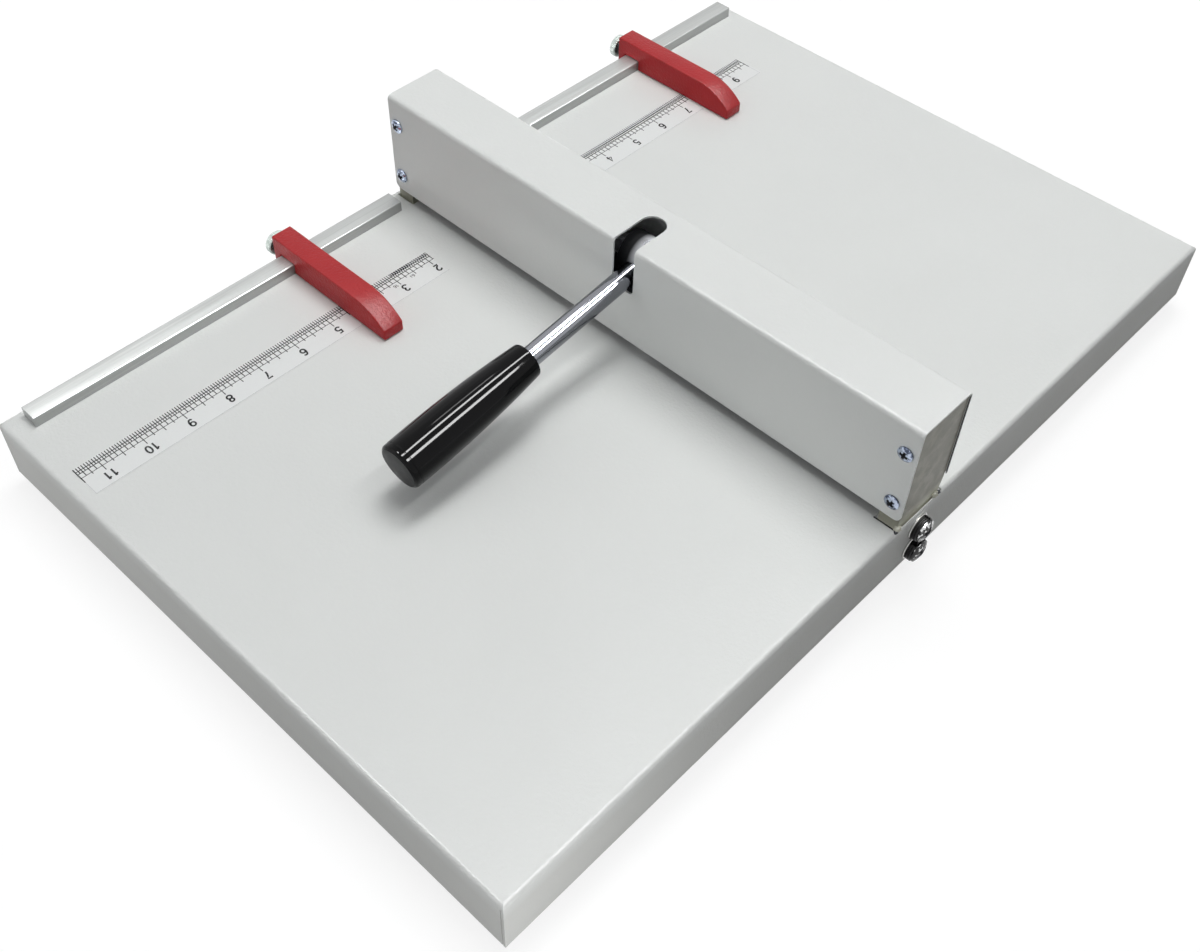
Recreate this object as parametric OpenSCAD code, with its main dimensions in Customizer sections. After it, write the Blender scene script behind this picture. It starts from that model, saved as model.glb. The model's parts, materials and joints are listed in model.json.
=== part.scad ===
/* [Bed] */
// Width of the bed, across the feed direction
bed_w = 390; // [370:1:430]
// Bed length in front of the crease line
front_reach = 300; // [290:1:340]
// Bed length behind the crease line
rear_reach = 296; // [290:1:340]
// Height of the folded edges
flange_h = 39.5; // [38:0.5:48]
// Thickness of the bed's sheet
bed_t = 1.5; // [1.2:0.1:2]
// Outer radius of the bed's folds
bed_fold_r = 2.6; // [2.3:0.1:4]
// Width of the lip turned in at the foot of the front and rear edges
bed_lip_w = 24; // [22:1:32]
// Gap of the corner seams
seam_w = 0.5; // [0.3:0.1:0.8]
// Clearance round each side plate in its bed slot
slot_clear = 1.2; // [0.6:0.1:2]
// Gap between the right side plate and the cut edge of its bed slot
edge_gap = 0.7; // [0.4:0.1:0.9]
// Width of the strips under the bed's edges along the die
strip_w = 3; // [2:0.1:4]

/* [Feet and ribs] */
// Height of the feet below the bed's edges
foot_h = 8; // [6:0.5:14]
// Radius of a foot at its top
foot_r = 10; // [8:0.5:10.5]
// Distance of the feet from the bed's side edges
foot_inset = 30; // [20:1:50]
// Width of a bed rib
rib_w = 30; // [20:1:40]
// Height of a bed rib
rib_h = 18; // [12:1:28]
// Distance from the crease line to each rib
rib_reach = 150; // [90:1:200]

/* [Side plates] */
// Thickness of the side plates
plate_t = 12; // [11:0.5:14]
// Distance of the left side plate from the bed's left edge
plate_inset = 4.6; // [4:0.2:8]
// Length of the side plates below the bed's top
plate_drop = 36; // [35:0.5:37.5]
// Depth of the guide grooves in the side plates
groove_d = 5; // [3:0.5:6]
// Clearance of the carrier's tongues in the grooves
groove_clear = 0.15; // [0.1:0.01:0.3]
// Step at the rear foot of the side plates
plate_step = 2; // [1:0.2:2.6]

/* [Cover] */
// Depth of the cover along the feed direction
cover_d = 40.8; // [40.4:0.2:50]
// Height of the cover's top above the bed
cover_top = 73.4; // [73:0.2:80]
// Thickness of the cover's sheet
cover_t = 1.2; // [1:0.1:1.4]
// Outer radius of the cover's folds
cover_fold_r = 3; // [2:0.1:4]
// Overhang of the cover past the side plates' outer faces
cover_over = 0.8; // [0:0.1:1.2]
// Gap under the cover at the front
front_gap = 7; // [6.5:0.1:9]
// Gap under the cover at the rear
rear_gap = 12.5; // [8:0.1:13]
// Radius of the cover's lower corners
cover_corner_r = 4; // [2:0.1:6]
// Height of the lower cover screws above the bed
cover_screw_low = 18.6; // [18:0.2:26]
// Height of the upper cover screws above the bed
cover_screw_high = 55; // [54:0.2:58]
// Width of the lever slot
lever_slot_w = 15.6; // [14.5:0.1:18]
// Reach of the lever slot behind the crease line in the cover's top
lever_slot_rear = 10.2; // [9.6:0.1:12]
// Height of the lever slot's lower end above the bed
lever_slot_low = 42; // [40:0.2:42.6]
// Corner radius at the lever slot's lower end
lever_slot_r = 3; // [2:0.1:5]

/* [Lever] */
// Height of the cam shaft above the bed
shaft_z = 52; // [51.8:0.1:52.6]
// Radius of the cam shaft
shaft_r = 7; // [6:0.1:7.4]
// Angle of the lever below level at rest
lever_rest_angle = 8; // [6:0.5:8.5]
// Angle that the lever swings up from rest
lever_swing = 104; // [60:1:105]
// Radius of the lever rod
rod_r = 6; // [5:0.1:6.4]
// Distance from the shaft's axis to the grip
grip_start = 94; // [80:1:130]
// Length of the grip
grip_l = 92; // [70:1:120]
// Radius of the grip at its rod end
grip_r_rod = 10.2; // [9:0.1:12]
// Radius of the grip at its widest place
grip_r_max = 13.8; // [12.5:0.1:16]
// Depth of the rod in the grip
grip_bore_l = 50; // [30:1:60]
// Radius of the lever hub
hub_r = 12; // [11:0.1:12.4]
// Length of the lever hub along the shaft
hub_l = 24; // [20:0.5:40]

/* [Cams] */
// Reach of the cams below the shaft's axis with the blade down
cam_reach = 17.5; // [17:0.1:17.8]
// Lift of the blade over the whole lever swing
blade_lift = 5; // [3:0.1:5]
// Thickness of a cam
cam_t = 14; // [10:0.5:18]
// Distance of each cam from the middle of the bed
cam_x = 105; // [85:1:130]
// Gap between the cams and the carrier
cam_gap = 0.3; // [0.2:0.05:0.5]

/* [Blade] */
// Thickness of the crease blade
blade_t = 1.2; // [1:0.1:1.6]
// Depth that the blade enters the die's groove
blade_entry = 1; // [0.6:0.1:1.2]
// Width of the groove in the lower die
die_groove_w = 2.4; // [2.2:0.1:3]
// Depth of the groove in the lower die
die_groove_d = 2; // [1.6:0.1:3]
// Width of the lower die
die_w = 24; // [22:0.5:28]
// Height of the lower die
die_h = 10; // [8:0.5:11]
// Width of the blade carrier
carrier_w = 19; // [17:0.5:19.5]
// Underside of the blade carrier above the bed, blade down
carrier_z = 9.7; // [9.2:0.1:10.5]
// Thickness of the blade clamp bar
clamp_t = 4.5; // [4:0.1:5]
// Height of the blade clamp bar
clamp_h = 12; // [11:0.5:13]

/* [Beam and springs] */
// Width of the cross beam
beam_w = 40; // [36:0.5:44]
// Height of the cross beam
beam_h = 24; // [23:0.5:25]
// Wall of the cross beam
beam_wall = 3; // [2:0.1:4]
// Length of the beam's end blocks
block_l = 30; // [24:1:40]
// Radius of a return spring, to the middle of its wire
spring_r = 3.2; // [3:0.05:3.3]
// Radius of a return spring's wire
spring_wire_r = 0.5; // [0.35:0.05:0.5]
// Turns of a return spring
spring_turns = 5; // [4:1:5]
// Thickness of the rail that the return springs stand on
rail_t = 3; // [2.5:0.1:3.2]
// Width of the spring rail
rail_w = 7.4; // [7:0.1:7.6]
// Depth of the spring rail's seats in the side plates
rail_seat_d = 4; // [2:0.5:6]

/* [Fences and stops] */
// Width of the fence bars
fence_w = 12; // [11:0.5:16]
// Height of the fence bars
fence_h = 7; // [6.5:0.1:8]
// Distance of the fence bars from the bed's left edge
fence_inset = 5.4; // [5:0.1:8]
// Distance from the crease line to the fence bars
fence_near = 29; // [26:1:32]
// Length of the fence bars
fence_l = 258; // [240:1:260]
// Length of the stops
stop_l = 100; // [80:1:130]
// Width of the stops
stop_w = 14; // [12:0.5:20]
// Height of the stops above the bed
stop_top = 18; // [16:0.5:22]
// Height of the blunt nose of the stops
stop_nose_h = 7; // [5:0.5:9]
// Length of the curved nose of the stops
stop_nose_l = 27; // [20:1:35]
// Gap between the stops and what they slide on
stop_gap = 0.4; // [0.3:0.05:0.6]
// Thickness of the outer leg of the stops
stop_leg_t = 6; // [5:0.1:8]
// Distance from the crease line to the front stop's middle
front_stop_y = 106; // [60:1:240]
// Distance from the crease line to the rear stop's middle
rear_stop_y = 195; // [60:1:240]

/* [Thumb screws] */
// Radius of the thumb screws' heads
knob_r = 7.6; // [7:0.1:8]
// Thickness of the thumb screws' heads
knob_t = 4.6; // [3:0.1:6]
// Radius of the thumb screws' collars
knob_collar_r = 5.2; // [4:0.1:5.4]
// Length of the thumb screws' collars
knob_collar_l = 3.4; // [2:0.1:5]
// Height of the thumb screws' axis above the bed
knob_z = 5.6; // [5.5:0.1:6]
// Radius of the thumb screws' threads
knob_thread_r = 2.5; // [2:0.1:2.5]
// Depth of the knurling
knurl_d = 0.35; // [0.2:0.05:0.5]

/* [Scales] */
// Width of the scale stickers
scale_w = 23; // [20:0.5:26]
// Thickness of the scale stickers
scale_t = 0.15; // [0.1:0.05:0.2]
// Distance from the fence's inner face to the scale stickers
scale_off = 39.2; // [30:0.2:60]
// Near end of the scale stickers, from the crease line
scale_near = 46.5; // [44:0.5:50]
// Length of the front scale sticker
front_scale_l = 244.5; // [200:0.5:245]
// Length of the rear scale sticker
rear_scale_l = 202.5; // [180:0.5:230]

/* [Fasteners] */
// Thread radius of the flange screws
flange_screw_r = 3; // [2.5:0.1:3]
// Head radius of the flange screws
flange_head_r = 6; // [5:0.1:6.5]
// Head height of the flange screws
flange_head_h = 3.6; // [3:0.1:5]
// Thickness of a spring washer
spring_washer_t = 3; // [1.6:0.1:3.4]
// Thickness of a flat washer
flat_washer_t = 1.2; // [1:0.1:1.8]
// Radius of a flat washer
flat_washer_r = 6.9; // [6:0.1:7]
// Distance of the upper flange screws below the bed's top
flange_screw_z = 12; // [11:0.5:12.5]
// Spacing of the flange screws
flange_screw_gap = 17; // [15:0.5:18]
// Thread radius of the cover screws
cover_screw_r = 2.5; // [2:0.1:2.5]
// Head radius of the cover screws
cover_head_r = 4.5; // [4:0.1:5]
// Head height of the cover screws
cover_head_h = 2.4; // [2:0.1:3]
// Length of the cover screws below their heads
cover_screw_l = 9; // [7:0.5:11]
// Thread radius of the small screws inside
small_screw_r = 2; // [1.5:0.1:2]
// Head radius of the small screws inside
small_head_r = 3.6; // [3:0.1:3.8]
// Head height of the small screws inside
small_head_h = 2.2; // [1.6:0.1:2.4]
// Thread radius of the beam screws
beam_screw_r = 3; // [2.5:0.1:3]
// Head radius of the beam screws
beam_head_r = 5; // [4.4:0.1:5]
// Head height of the beam screws
beam_head_h = 5.6; // [4:0.1:6]
// Length of the beam screws below their heads
beam_screw_l = 24; // [18:1:28]

/* [Hidden] */
$fn = 64;

// Overrun of cuts, and clearances of tapped, pressed, free, turning and loosely seated pieces
over = 1;
tap_clear = 0.02;
press_clear = 0.01;
hole_clear = 0.3;
run_clear = 0.04;
seat_gap = 0.2;

// Reach of the thumb screws and the flange screws, which centre the object across its width
stop_leg_over = stop_leg_t + stop_gap - fence_inset;
knob_reach = bed_w / 2 + stop_leg_over + seat_gap + knob_collar_l + knob_t;
screw_stack = flat_washer_t + spring_washer_t;
screw_reach = bed_w / 2 + screw_stack + flange_head_h;
mid_x = (knob_reach - screw_reach) / 2;
left_x = mid_x - bed_w / 2;
right_x = mid_x + bed_w / 2;
crease_y = (front_reach - rear_reach) / 2;
bed_l = front_reach + rear_reach;

// Heights
bed_z = foot_h + flange_h;
shaft_h = bed_z + shaft_z;
plate_bottom = bed_z - plate_drop;
plate_top = bed_z + cover_top - cover_t - seat_gap;
beam_top = bed_z - die_h;
beam_mid_z = beam_top - beam_h / 2;
cover_top_z = bed_z + cover_top;

// Side plates
left_plate_x = left_x + plate_inset;
right_outer_x = right_x - bed_t - seat_gap;
right_plate_x = right_outer_x - plate_t;
left_inner_x = left_plate_x + plate_t;
right_inner_x = right_plate_x;
span_l = right_inner_x - left_inner_x;
span_x = (right_inner_x + left_inner_x) / 2;
plate_w = cover_d - 2 * cover_t - 2 * seat_gap;

// Fences, stops and thumb screws
fence_x = left_x + fence_inset;
fence_inner_x = fence_x + fence_w;
fence_mid_x = fence_x + fence_w / 2;
stop_x = fence_x - stop_gap - stop_leg_t;
knob_x = stop_x - seat_gap - knob_collar_l - knob_t;

// Places of screws
flange_screw_heights = [bed_z - flange_screw_z, bed_z - flange_screw_z - flange_screw_gap];
cover_screw_heights = [bed_z + cover_screw_low, bed_z + cover_screw_high];
left_screw_x = left_plate_x + plate_t / 2;
right_screw_x = right_plate_x + plate_t / 2;
foot_places = [for (sx = [-1, 1], sy = [-1, 1])
  [mid_x + sx * (bed_w / 2 - foot_inset), sy * (bed_l / 2 - bed_t - bed_lip_w / 2)]];
fence_screw_shares = [0.1, 0.5, 0.9];
fence_screw_ys = [for (s = [-1, 1], f = fence_screw_shares) crease_y + s * (fence_near + fence_l * f)];
die_screw_shares = [-0.36, -0.12, 0.12, 0.36];
die_screw_xs = [for (f = die_screw_shares) span_x + f * span_l];
beam_screw_y_share = 0.27;
beam_screw_ys = [for (s = [-1, 1]) crease_y + s * beam_w * beam_screw_y_share];
clamp_screw_shares = [-0.46, -0.28, -0.09, 0.09, 0.28, 0.46];
clamp_screw_xs = [for (f = clamp_screw_shares) span_x + f * span_l];
spring_shares = [-0.42, -0.17, 0.17, 0.42];
spring_xs = [for (f = spring_shares) span_x + f * span_l];

// Blade unit, with the blade down
carrier_top = shaft_h - cam_reach - cam_gap;
carrier_low = bed_z + carrier_z;
carrier_h = carrier_top - carrier_low;
carrier_l = span_l - 2 * seat_gap;
tongue_w_share = 0.5;
tongue_w = carrier_w * tongue_w_share;
tongue_l = groove_d + seat_gap / 2;
blade_low = bed_z - blade_entry;
blade_top = carrier_low + clamp_h;
clamp_z = carrier_low + clamp_h / 2;
clamp_tap_d = 6;
clamp_l_share = 0.96;
clamp_l = span_l * clamp_l_share;

// Return springs between the rail behind the carrier and the lugs on it
rail_z = bed_z + rear_gap + hole_clear;
rail_gap = 0.6;
rail_y = crease_y + carrier_w / 2 + rail_gap;
spring_y = rail_y + rail_w / 2;
spring_z = rail_z + rail_t;
lug_h = 6;
lug_l = 10;
lug_z = carrier_top - lug_h;
stud_r = 1.8;
stud_rise = 6;
lug_screw_r = 1.5;
lug_head_r = 2.6;
lug_head_h = 2;
lug_screw_l = 12;

// A rounded rectangle in true arcs, from a corner at the origin
module round_rect(w, h, r) {
  translate([r, 0]) square([w - 2 * r, h]);
  translate([0, r]) square([w, h - 2 * r]);
  for (x = [r, w - r], y = [r, h - r]) translate([x, y]) circle(r);
}

// A rectangle with only its two upper corners rounded
module arch_rect(w, h, r) {
  round_rect(w, h, r);
  square([w, h - r]);
}

// A bar along X, its profile drawn in Y and Z
module along_x(x, l) {
  translate([x, 0, 0]) rotate([90, 0, 90]) linear_extrude(l) children();
}

// A bar along Y, its profile drawn in X and Z
module along_y(y, l) {
  translate([0, y + l, 0]) rotate([90, 0, 0]) linear_extrude(l) children();
}

// Round bars along the axes
module rod_x(x, y, z, r, l) {
  translate([x, y, z]) rotate([0, 90, 0]) cylinder(r = r, h = l);
}
module rod_y(x, y, z, r, l) {
  translate([x, y, z]) rotate([-90, 0, 0]) cylinder(r = r, h = l);
}
module rod_z(x, y, z, r, l) {
  translate([x, y, z]) cylinder(r = r, h = l);
}

// A ring, its lower face at the origin
module ring(outer_r, inner_r, t) {
  difference() {
    cylinder(r = outer_r, h = t);
    translate([0, 0, -over]) cylinder(r = inner_r, h = t + 2 * over);
  }
}

// A pan-head screw with a cross recess, head upwards, its seat at the origin
recess_w_share = 0.22;
recess_l_share = 1.15;
recess_d_share = 0.5;
head_flat_share = 0.4;
module pan_screw(thread_r, thread_l, head_r, head_h) {
  flat_h = head_h * head_flat_share;
  dome_h = head_h - flat_h;
  dome_r = (head_r * head_r + dome_h * dome_h) / (2 * dome_h);
  difference() {
    union() {
      translate([0, 0, -thread_l]) cylinder(r = thread_r, h = thread_l + flat_h);
      intersection() {
        cylinder(r = head_r, h = head_h);
        translate([0, 0, head_h - dome_r]) sphere(dome_r);
      }
    }
    for (a = [0, 90]) rotate([0, 0, a])
      translate([-head_r * recess_l_share / 2, -head_r * recess_w_share / 2, head_h * (1 - recess_d_share)])
        cube([head_r * recess_l_share, head_r * recess_w_share, head_h]);
  }
}

// The folded bed: its top with the folds, and its four edges below them with lips at the foot
fold_z = bed_z - bed_fold_r;
bed_slot_l = plate_w + 2 * slot_clear;
bed_slot_w = plate_t + 2 * slot_clear;
opening_w = die_w + 2 * hole_clear;
module bed_block(inset, down) {
  r = bed_fold_r - inset;
  h = flange_h - inset + down;
  intersection() {
    along_y(-bed_l / 2 + inset, bed_l - 2 * inset)
      translate([left_x + inset, foot_h - down]) arch_rect(bed_w - 2 * inset, h, r);
    along_x(left_x + inset, bed_w - 2 * inset)
      translate([-bed_l / 2 + inset, foot_h - down]) arch_rect(bed_l - 2 * inset, h, r);
  }
}
module bed_lips() {
  for (s = [-1, 1])
    translate([left_x + bed_fold_r, s > 0 ? bed_l / 2 - bed_t - bed_lip_w : bed_t - bed_l / 2, foot_h])
      cube([bed_w - 2 * bed_fold_r, bed_lip_w, bed_t]);
}
module plate_slots() {
  translate([left_plate_x - slot_clear, crease_y - bed_slot_l / 2, fold_z - over])
    cube([bed_slot_w, bed_slot_l, bed_fold_r + 2 * over]);
  translate([right_plate_x - slot_clear, crease_y - bed_slot_l / 2, fold_z - over])
    cube([slot_clear + plate_t + edge_gap, bed_slot_l, bed_fold_r + 2 * over]);
  translate([left_inner_x, crease_y - opening_w / 2, bed_z - bed_t - over])
    cube([span_l, opening_w, bed_t + 2 * over]);
}
module corner_seams() {
  for (sx = [-1, 1], sy = [-1, 1])
    translate([mid_x + sx * (bed_w / 2 - bed_t - seam_w / 2) - seam_w / 2,
               sy > 0 ? bed_l / 2 - bed_t - seam_w : -bed_l / 2 - over, foot_h - over])
      cube([seam_w, bed_t + seam_w + over, fold_z - foot_h + 2 * over]);
}
module bed_shell() {
  difference() {
    bed_block(0, 0);
    bed_block(bed_t, over);
  }
}
module below_folds() {
  translate([left_x - over, -bed_l / 2 - over, 0]) cube([bed_w + 2 * over, bed_l + 2 * over, fold_z]);
}
module bed_pan() {
  color("gainsboro") difference() {
    bed_shell();
    below_folds();
    plate_slots();
    for (y = fence_screw_ys)
      rod_z(fence_mid_x, y, bed_z - bed_t - over, small_screw_r + hole_clear, bed_t + 2 * over);
  }
}
module bed_edges() {
  color("gainsboro") difference() {
    union() {
      intersection() {
        bed_shell();
        below_folds();
      }
      bed_lips();
    }
    corner_seams();
    for (z = flange_screw_heights, x = [left_x - over, right_x - bed_t - over])
      rod_x(x, crease_y, z, flange_screw_r + hole_clear, bed_t + 2 * over);
    for (p = foot_places) rod_z(p[0], p[1], foot_h - over, small_screw_r + hole_clear, bed_t + 2 * over);
  }
}

// Ribs across the bed, open downwards, cut round the fence screws
module bed_rib(y) {
  rib_z = bed_z - bed_t - rib_h;
  color("silver") difference() {
    translate([left_x + bed_t + seat_gap, y - rib_w / 2, rib_z])
      cube([bed_w - 2 * bed_t - 2 * seat_gap, rib_w, rib_h]);
    translate([left_x, y - rib_w / 2 + bed_t, rib_z - over])
      cube([bed_w, rib_w - 2 * bed_t, rib_h - bed_t + over]);
    for (fy = fence_screw_ys)
      rod_z(fence_mid_x, fy, rib_z, small_head_r + hole_clear, rib_h + over);
  }
}
module front_rib() { bed_rib(crease_y - rib_reach); }
module rear_rib() { bed_rib(crease_y + rib_reach); }

// Feet, each held by a screw up into a nut on the lip
foot_taper_share = 0.85;
foot_sink_share = 0.5;
foot_sink = foot_h * foot_sink_share;
nut_h = 3.2;
nut_r = 4;
module rubber_feet() {
  color("dimgray") for (p = foot_places) translate([p[0], p[1], 0]) difference() {
    cylinder(r1 = foot_r * foot_taper_share, r2 = foot_r, h = foot_h);
    translate([0, 0, -over]) cylinder(r = small_head_r + hole_clear, h = foot_sink + over);
    translate([0, 0, -over]) cylinder(r = small_screw_r + hole_clear, h = foot_h + 2 * over);
  }
}
module foot_screws() {
  color("silver") for (p = foot_places)
    translate([p[0], p[1], foot_sink]) rotate([180, 0, 0])
      pan_screw(small_screw_r, foot_h - foot_sink + bed_t + nut_h, small_head_r, small_head_h);
}
module foot_nuts() {
  color("silver") for (p = foot_places) translate([p[0], p[1], foot_h + bed_t]) difference() {
    cylinder(r = nut_r, h = nut_h, $fn = 6);
    translate([0, 0, -over]) cylinder(r = small_screw_r + tap_clear, h = nut_h + 2 * over);
  }
}

// The tube under the bed between the side plates
module cross_beam() {
  color("slategray") difference() {
    translate([left_inner_x, crease_y - beam_w / 2, beam_top - beam_h]) cube([span_l, beam_w, beam_h]);
    translate([left_inner_x - over, crease_y - beam_w / 2 + beam_wall, beam_top - beam_h + beam_wall])
      cube([span_l + 2 * over, beam_w - 2 * beam_wall, beam_h - 2 * beam_wall]);
    for (x = die_screw_xs) {
      rod_z(x, crease_y, beam_top - beam_wall - over, small_screw_r + hole_clear, beam_wall + 2 * over);
      rod_z(x, crease_y, beam_top - beam_h - over, small_head_r + hole_clear, beam_wall + 2 * over);
    }
  }
}

// Blocks in the beam's ends
block_w = beam_w - 2 * beam_wall - 2 * seat_gap;
block_h = beam_h - 2 * beam_wall - 2 * seat_gap;
module beam_end_blocks() {
  color("slategray") for (x = [left_inner_x, right_inner_x - block_l]) difference() {
    translate([x, crease_y - block_w / 2, beam_mid_z - block_h / 2]) cube([block_l, block_w, block_h]);
    for (y = beam_screw_ys)
      rod_x(x - over, y, beam_mid_z, beam_screw_r + tap_clear, block_l + 2 * over);
  }
}

// Cap screws through the side plates into the end blocks, with sunk heads
beam_sink = beam_head_h + seat_gap;
socket_r_share = 0.5;
module cap_screw() {
  difference() {
    union() {
      translate([0, 0, -beam_screw_l]) cylinder(r = beam_screw_r, h = beam_screw_l + beam_head_h / 2);
      cylinder(r = beam_head_r, h = beam_head_h);
    }
    translate([0, 0, beam_head_h / 2]) cylinder(r = beam_head_r * socket_r_share, h = beam_head_h, $fn = 6);
  }
}
module beam_screws() {
  color("dimgray") for (y = beam_screw_ys) {
    translate([left_plate_x + beam_sink, y, beam_mid_z]) rotate([0, -90, 0]) cap_screw();
    translate([right_outer_x - beam_sink, y, beam_mid_z]) rotate([0, 90, 0]) cap_screw();
  }
}

// Strips on the cross beam that carry the bed's edges along the die
module opening_strips() {
  color("silver") for (y = [crease_y - opening_w / 2 - strip_w, crease_y + opening_w / 2])
    translate([left_inner_x + seat_gap, y, beam_top]) cube([span_l - 2 * seat_gap, strip_w, die_h - bed_t]);
}

// Lower die with its groove, flush with the bed
die_tap_share = 0.6;
die_tap_d = die_h * die_tap_share;
module lower_die() {
  color("lightsteelblue") difference() {
    translate([left_inner_x + seat_gap, crease_y - die_w / 2, beam_top])
      cube([span_l - 2 * seat_gap, die_w, die_h]);
    translate([left_inner_x, crease_y - die_groove_w / 2, bed_z - die_groove_d])
      cube([span_l, die_groove_w, die_groove_d + over]);
    for (x = die_screw_xs) rod_z(x, crease_y, beam_top - over, small_screw_r + tap_clear, die_tap_d + over);
  }
}
module die_screws() {
  color("silver") for (x = die_screw_xs) translate([x, crease_y, beam_top - beam_wall]) rotate([180, 0, 0])
    pan_screw(small_screw_r, beam_wall + die_tap_d - seat_gap, small_head_r, small_head_h);
}

// Side plates, their rear foot stepped in below the cover
module plate_profile() {
  y0 = crease_y - plate_w / 2;
  y1 = crease_y + plate_w / 2;
  polygon([[y0, plate_bottom], [y1 - plate_step, plate_bottom], [y1 - plate_step, bed_z + plate_step],
           [y1, bed_z + rear_gap - plate_step], [y1, plate_top], [y0, plate_top]]);
}
bush_wall = 2.2;
bush_r = shaft_r + bush_wall;
bush_l_share = 0.62;
bush_l = plate_t * bush_l_share;
module plate_cuts(inner_x, s) {
  // Guide groove of the carrier's tongue, open at the top
  translate([s < 0 ? inner_x - groove_d - seat_gap : inner_x - over, crease_y - tongue_w / 2 - groove_clear,
             carrier_low - hole_clear])
    cube([groove_d + seat_gap + over, tongue_w + 2 * groove_clear, plate_top - bed_z]);
  // Blind seat of the shaft's bush
  rod_x(s < 0 ? inner_x - bush_l : inner_x - over, crease_y, shaft_h, bush_r + press_clear, bush_l + over);
  // Seat of the spring rail
  translate([s < 0 ? inner_x - rail_seat_d : inner_x - over, rail_y - press_clear, rail_z - press_clear])
    cube([rail_seat_d + over, rail_w + 2 * press_clear, rail_t + 2 * press_clear]);
  // Tapped holes of the cover screws
  for (z = cover_screw_heights, y = [crease_y - plate_w / 2 - over, crease_y + plate_w / 2 - cover_screw_l])
    rod_y(s < 0 ? left_screw_x : right_screw_x, y, z, cover_screw_r + tap_clear, cover_screw_l + over);
}
flange_tap_share = 0.75;
flange_tap_d = plate_t * flange_tap_share;
module left_side_plate() {
  color("darkkhaki") difference() {
    along_x(left_plate_x, plate_t) plate_profile();
    plate_cuts(left_inner_x, -1);
    for (z = flange_screw_heights)
      rod_x(left_plate_x - over, crease_y, z, flange_screw_r + tap_clear, flange_tap_d + over);
    for (y = beam_screw_ys) {
      rod_x(left_plate_x - over, y, beam_mid_z, beam_screw_r + hole_clear, plate_t + 2 * over);
      rod_x(left_plate_x - over, y, beam_mid_z, beam_head_r + hole_clear, beam_sink + over);
    }
  }
}
module right_side_plate() {
  color("darkkhaki") difference() {
    along_x(right_plate_x, plate_t) plate_profile();
    plate_cuts(right_inner_x, 1);
    for (z = flange_screw_heights)
      rod_x(right_outer_x - flange_tap_d, crease_y, z, flange_screw_r + tap_clear, flange_tap_d + over);
    for (y = beam_screw_ys) {
      rod_x(right_plate_x - over, y, beam_mid_z, beam_screw_r + hole_clear, plate_t + 2 * over);
      rod_x(right_outer_x - beam_sink, y, beam_mid_z, beam_head_r + hole_clear, plate_t);
    }
  }
}

// Screws that hold the bed's side edges to the side plates, with their washers
washer_clear = 0.25;
spring_washer_r_share = 1.05;
spring_washer_gap = 0.8;
module at_flange_screws(out) {
  for (z = flange_screw_heights) {
    translate([left_x - out, crease_y, z]) rotate([0, -90, 0]) children();
    translate([right_x + out, crease_y, z]) rotate([0, 90, 0]) children();
  }
}
module flange_screws() {
  color("silver") for (z = flange_screw_heights) {
    translate([left_x - screw_stack, crease_y, z]) rotate([0, -90, 0])
      pan_screw(flange_screw_r, screw_stack + plate_inset + flange_tap_d - seat_gap, flange_head_r, flange_head_h);
    translate([right_x + screw_stack, crease_y, z]) rotate([0, 90, 0])
      pan_screw(flange_screw_r, screw_stack + bed_t + flange_tap_d - seat_gap, flange_head_r, flange_head_h);
  }
}
module spring_washers() {
  color("black") at_flange_screws(flat_washer_t) difference() {
    ring(flange_head_r * spring_washer_r_share, flange_screw_r + washer_clear, spring_washer_t);
    translate([0, -spring_washer_gap / 2, -over])
      cube([flange_head_r + over, spring_washer_gap, spring_washer_t + 2 * over]);
  }
}
module flat_washers() {
  color("white") at_flange_screws(0) ring(flat_washer_r, flange_screw_r + washer_clear, flat_washer_t);
}
module flange_spacers() {
  color("silver") for (z = flange_screw_heights)
    translate([left_x + bed_t, crease_y, z]) rotate([0, 90, 0])
      ring(flat_washer_r, flange_screw_r + washer_clear, plate_inset - bed_t);
}

// Bushes of the cam shaft, pressed into the side plates
module shaft_bushes() {
  color("goldenrod") for (x = [left_inner_x - bush_l, right_inner_x]) difference() {
    rod_x(x, crease_y, shaft_h, bush_r, bush_l);
    rod_x(x - over, crease_y, shaft_h, shaft_r + run_clear, bush_l + 2 * over);
  }
}

// Rail behind the carrier, let into the side plates, with a stud in each return spring
module spring_rail() {
  color("silver") difference() {
    translate([left_inner_x - rail_seat_d + seat_gap, rail_y, rail_z])
      cube([span_l + 2 * rail_seat_d - 2 * seat_gap, rail_w, rail_t]);
    for (x = spring_xs) rod_z(x, spring_y, rail_z - over, stud_r + press_clear, rail_t + 2 * over);
  }
}
module spring_studs() {
  color("silver") for (x = spring_xs) rod_z(x, spring_y, rail_z, stud_r, rail_t + stud_rise);
}

// A coil as one tube swept along a helix, its foot at the origin
coil_rings = 8;
coil_sides = 6;
function coil_ring(a, r, wire_r, z, pitch) =
  let (rise = pitch / (2 * PI * r), n = sqrt(1 + rise * rise))
  [for (k = [0:coil_sides - 1]) let (b = 360 * k / coil_sides, u = wire_r * cos(b), v = wire_r * sin(b))
    [(r + u) * cos(a) + v * rise * sin(a) / n, (r + u) * sin(a) - v * rise * cos(a) / n, z + v / n]];
module coil(r, wire_r, h, turns) {
  steps = turns * coil_rings;
  rise_h = h - 2 * wire_r;
  rings = [for (i = [0:steps])
    coil_ring(360 * i / coil_rings, r, wire_r, wire_r + rise_h * i / steps, rise_h / turns)];
  points = [for (g = rings, p = g) p];
  last = steps * coil_sides;
  sides = [for (i = [0:steps - 1], k = [0:coil_sides - 1])
    let (a = i * coil_sides + k, b = i * coil_sides + (k + 1) % coil_sides)
    each [[a, b, b + coil_sides], [a, b + coil_sides, a + coil_sides]]];
  ends = [for (k = [1:coil_sides - 2]) each [[0, k + 1, k], [last, last + k, last + k + 1]]];
  polyhedron(points, concat(sides, ends), convexity = turns * 2);
}
coil_h = lug_z - spring_z - cam_gap;
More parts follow.
